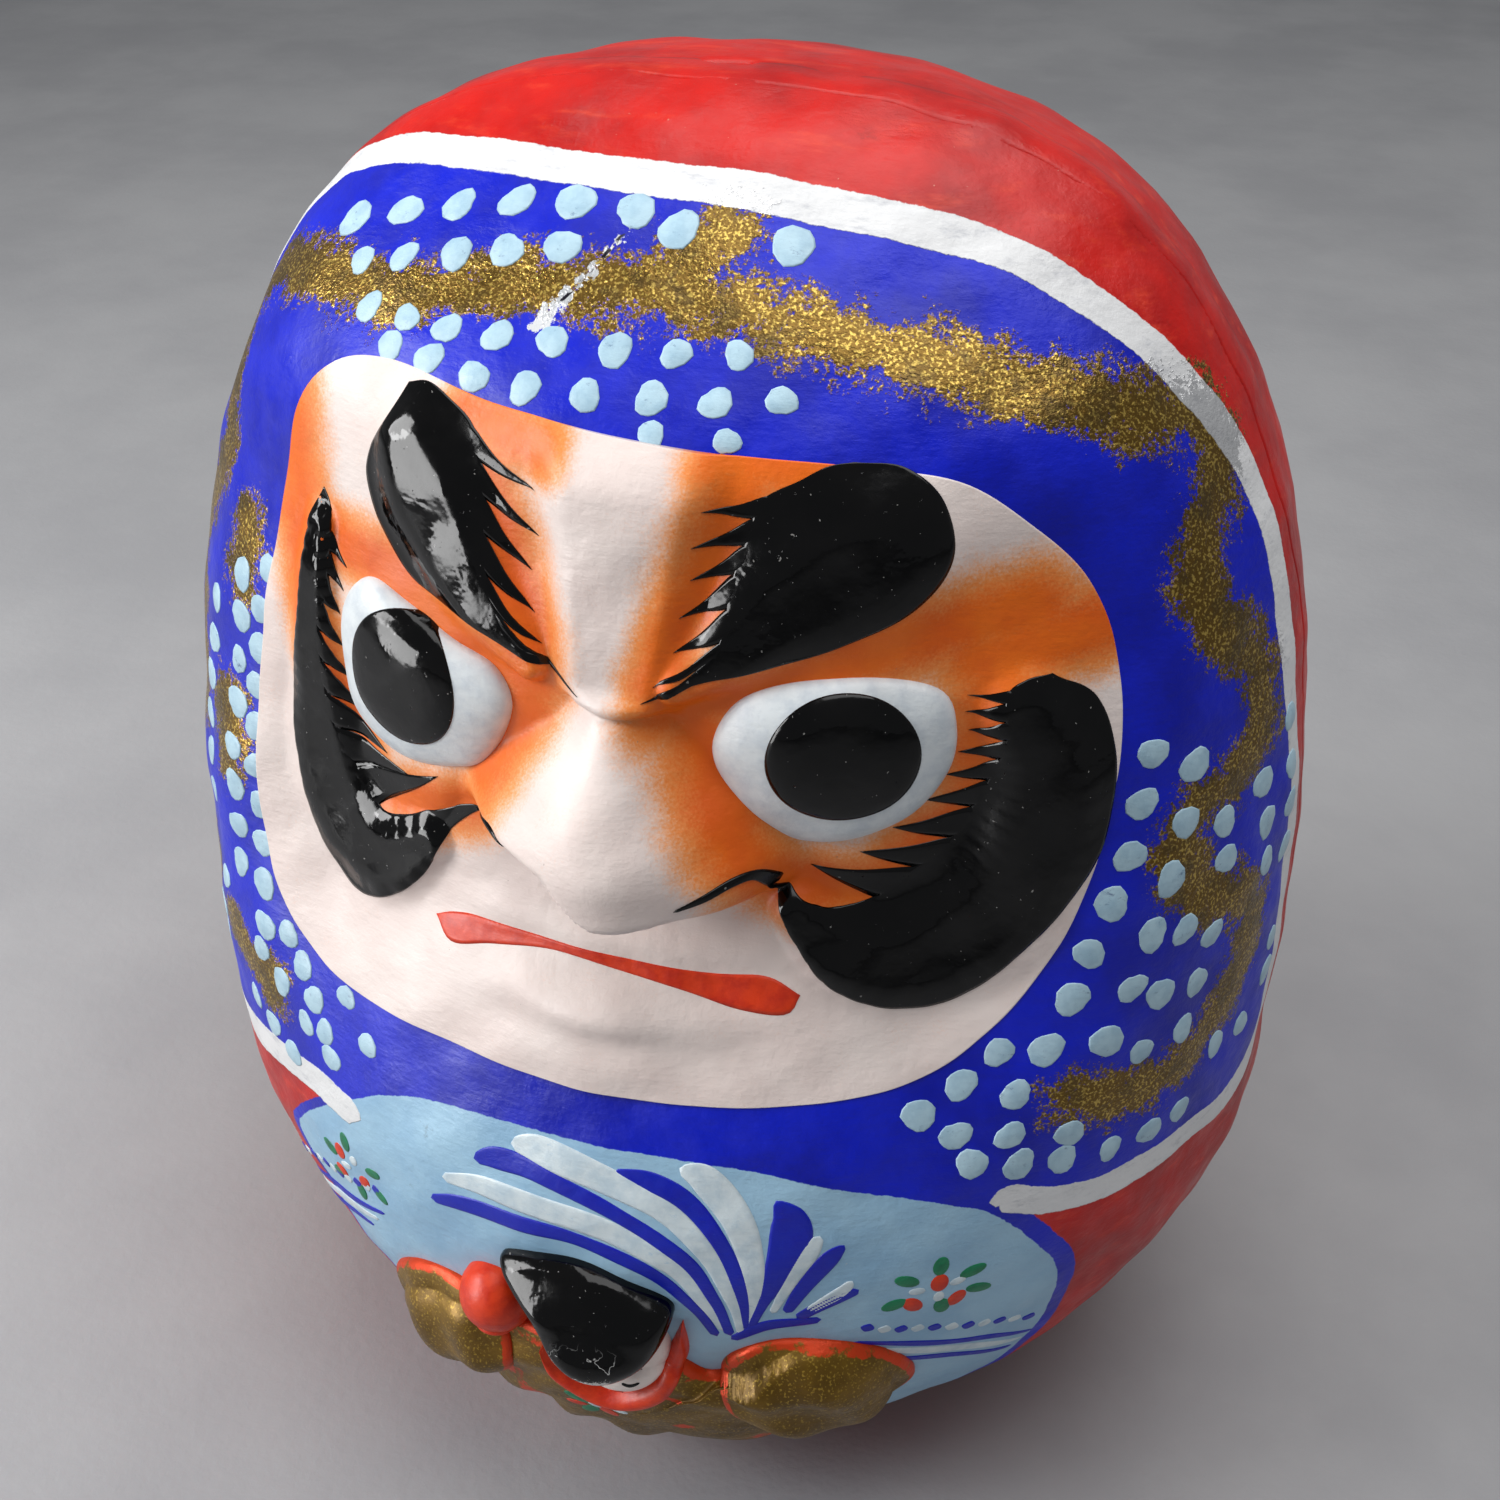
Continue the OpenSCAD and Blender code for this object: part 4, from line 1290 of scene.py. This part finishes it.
flat = disc(robe_middle, robe_rim, 64)
high, turn, out = robe_high(flat)
fold_line = hump(fold_wave(turn), -1, 0.22) * ease(0.35, 0.6, out)
# x, height and size of the places where the bronze is rubbed down to the red
rubs = [(-58, 92, 5), (-30, 82, 8), (-22, 72, 7), (28, 74, 5), (66, 70, 8), (50, 60, 8)]
patches = sum(hump(flat[..., 0], x0, size) * hump(flat[..., 1], z0, 0.7 * size) for x0, z0, size in rubs)
rim_red = [ease(0.9, 0.96, out), 0.8 * fold_line, np.clip(1.2 * patches, 0, 1)]
rim_red = 0.5 * np.maximum.reduce(rim_red)
robe = lay(flat, robe_coat + high, sink=robe_sink, wrap=True, rim_red=rim_red)
piece("robe", [robe], bronze_paint, ["figure_robe"])

# %% Parts seated on the robe
def seated(name, rim, middle, height, paint, slot, node, power=2.2, rings=26, extra=None, **marks):
    """A pad on the robe: the robe's height below it, plus a pillow over its own outline.
    extra(flat, out) adds folds or dents, and marks give the values that its points carry."""
    middle = np.array(middle, float)
    flat = disc(middle, rim, rings)
    seat = robe_high(flat)[0]
    out = share_out(flat, middle, rim)
    high = 0.4 + pillow(height, out, power)
    if extra is not None:
        high = high + extra(flat, out)
    fields = {key: mark(flat, out) for key, mark in marks.items()}
    pad = lay(flat, seat + high, sink=robe_sink - seat, wrap=True, **fields)
    piece(name, [pad], paint, [node])


def sleeve_folds(flat, out):
    """Three soft folds across a sleeve, gone at its rim."""
    return 1.1 * np.sin(flat[..., 0] * 0.28 + flat[..., 1] * 0.12) * (1 - np.clip(out, 0, 1) ** 4)


def sleeve_red(flat, out):
    """Red undercoat at the rim of a sleeve."""
    return 0.52 * ease(0.86, 0.94, out)


def nothing(flat, out):
    """A field that is nought all over."""
    return 0 * out


# middle and half length
sleeves = {1: ((69, 97), 29), -1: ((-50, 93), 27)}
for side, name in side_names.items():
    middle, half_long = sleeves[side]
    seated("sleeve_" + name, oval(middle, half_long, 22, 90, side * -24), middle, 6.5, bronze_paint,
           "robe_gold", "figure_sleeve_" + name, extra=sleeve_folds, rim_red=sleeve_red)

# %% Head, cap, collar and mallet
head_middle = (12, 115)
head_h = 9
head_rim = oval(head_middle, 15, 13.5, 80, 8)
seated("figure_head", head_rim, head_middle, head_h, face_paint, "face_white", "figure_head",
       spray=nothing, soot=nothing)
cap_rim = curve([(-26, 141), (-12, 146), (4, 147), (18, 142), (28, 136), (27, 127), (22, 119),
                 (14, 113), (4, 115), (-6, 122), (-16, 132)], 110, True)


def cap_shape(flat, out):
    """A soft bag of a cap that leans out over the brow: its front is thicker towards the
    bottom and drops away steeply at the rim, with one faint dent across it."""
    lean = 11 * ease(144, 120, flat[..., 1]) * np.sqrt(np.maximum(1 - np.clip(out, 0, 1) ** 7, 0))
    dent = -1.2 * hump(flat[..., 1], 132 - 0.02 * (flat[..., 0] - 6) ** 2, 4)
    return lean + dent * (1 - np.clip(out, 0, 1) ** 3)


def cap_chips(flat, out):
    """Chips are thickest on the front of the cap, below the middle."""
    return 0.72 * hump(flat[..., 0], 8, 14) * hump(flat[..., 1], 119, 8)


seated("cap", cap_rim, (3, 130), 11, cap_black, "black_gloss", "figure_cap", power=2.4,
       rings=40, extra=cap_shape, chips=cap_chips)
band_points = 13
band = between([(-13, 108), (-8, 97), (8, 90), (24, 96), (32, 112), (31, 128)],
               [(-13, 108), (-5, 101), (8, 96), (20, 102), (26, 114), (31, 128)], 70, band_points)
seat = robe_high(band)[0]
across = np.linspace(-1, 1, band_points)[None]
roll = 4.5 * np.sqrt(np.maximum(1 - across ** 2, 0))
collar = lay(band, robe_coat + seat + roll, sink=robe_sink - seat)
piece("collar", [collar], vermilion, ["figure_collar"])
mallet_middle = (-30, 119)
seated("mallet", oval(mallet_middle, 12, 12.5, 70, 12), mallet_middle, 12, vermilion,
       "collar_red", "figure_mallet", power=2.1)

# %% [markdown]
# ## The figure's face and its robe's flower
# Seen from the front the figure looks out from under its cap. Its face is a plain doll's:
# two closed eyes, two brows and a small mouth, all thin strokes laid on the head. On the robe
# below is one small flower.

# %% Small face and flower
def on_head(flat):
    """Height of the head at a flat place: the robe below it and its own pillow."""
    out = share_out(flat, np.array(head_middle, float), head_rim)
    return robe_high(flat)[0] + 0.4 + pillow(head_h, out, 2.2)


def face_line(points):
    """A thin stroke that rides on the head."""
    flat = ribbon(points, 14, 5)
    seat = on_head(flat)
    return lay(flat, seat + 0.3, sink=0.4 - seat)


def on_robe(flat):
    """Height of the robe's own surface."""
    return robe_coat + robe_high(flat)[0]


flower = (2, 80)
greens = petals(flower, [(-4, 84), (6, 84), (-1, 76)], 9, 4.5, on_robe)
piece("robe_flower_green", greens, leaf_green)
reds = petals(flower, [(5, 77), (-5, 79)], 7, 4, on_robe)
piece("robe_flower_red", reds, vermilion)
whites = petals(flower, [(1, 81), (9, 80)], 5, 3, on_robe)
piece("robe_flower_white", whites, stroke_white)
eye_lines = [[(5, 109.4, 0.5), (7.6, 108.6, 0.9), (10, 109.4, 0.5)],
             [(14, 109.4, 0.5), (16.4, 108.6, 0.9), (19, 109.4, 0.5)]]
brow_lines = [[(4.6, 112, 0.4), (7.6, 112.8, 0.8), (10.4, 112, 0.4)],
              [(13.6, 112, 0.4), (16.4, 112.8, 0.8), (19.4, 112, 0.4)]]
mouth_line = [(9.8, 104.8, 0.5), (12, 104.3, 1.3), (14.2, 104.8, 0.5)]
lines = [face_line(line) for line in eye_lines + brow_lines]
piece("figure_eye_lines", lines, black_gloss)
piece("figure_mouth", [face_line(mouth_line)], vermilion)

# %% [markdown]
# ## Floor and light
# The doll stands on a plain pale floor. A large soft light on its right side stands for a
# window, and gives the gloss black its broad, soft shine. A wide light overhead and a pale
# surrounding fill the shadows. A low card shows only in the gloss: it is what makes the black
# of the brow look wet.

# %% Floor
floor_mesh = bpy.data.meshes.new("floor")
reach = 4
corners = [(-reach, -reach, 0), (reach, -reach, 0), (reach, reach, 0), (-reach, reach, 0)]
floor_mesh.from_pydata(corners, [], [(0, 1, 2, 3)])
floor = bpy.data.objects.new("floor", floor_mesh)
bpy.context.scene.collection.objects.link(floor)
plaster = Paint("floor_plaster")
cloud = plaster.clouds(0.3, 0.7, 240, 5, 0.6)
floor_tone = plaster.mix(cloud, tone(166, 166, 167), tone(152, 152, 154))
floor_rough = plaster.step(cloud, 0, 1, 0.5, 0.65)
floor_mesh.materials.append(plaster.done(floor_tone, floor_rough, plaster.noise(5, 5), 0.3))
floor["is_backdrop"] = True
print("floor is", 2 * reach, "metres wide")

# %% Lights
def soft_light(name, place, size, power):
    """A square area light at place, turned to face the middle of the doll."""
    lamp = bpy.data.lights.new(name, "AREA")
    lamp.size = size
    lamp.energy = power
    thing = bpy.data.objects.new(name, lamp)
    thing.location = place
    away = Vector(place) - Vector((0, 0, half_height))
    thing.rotation_euler = away.to_track_quat("Z", "Y").to_euler()
    bpy.context.scene.collection.objects.link(thing)
    return thing


soft_light("window", (-1.35, -0.65, 1.0), size=0.75, power=24)
soft_light("ceiling", (0.2, 0.1, 1.9), size=1.6, power=26)
gloss_card = soft_light("gloss_card", (-1.12, -1.05, 0.42), size=0.66, power=17)
gloss_card.visible_diffuse = False
world = bpy.data.worlds.new("room")
world.use_nodes = True
surrounding = world.node_tree.nodes["Background"]
surrounding.inputs["Color"].default_value = (0.82, 0.84, 0.88, 1)
surrounding.inputs["Strength"].default_value = 0.28
bpy.context.scene.world = world
bpy.context.scene.view_settings.view_transform = "Standard"
print("three lights and a pale surrounding")

# %% [markdown]
# ## Sizes and the end
# The looks must not outgrow the imported model, so both boxes are written down for comparison.

# %% Write the sizes
low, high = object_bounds()
print("visual box in metres:", tuple(low), tuple(high))
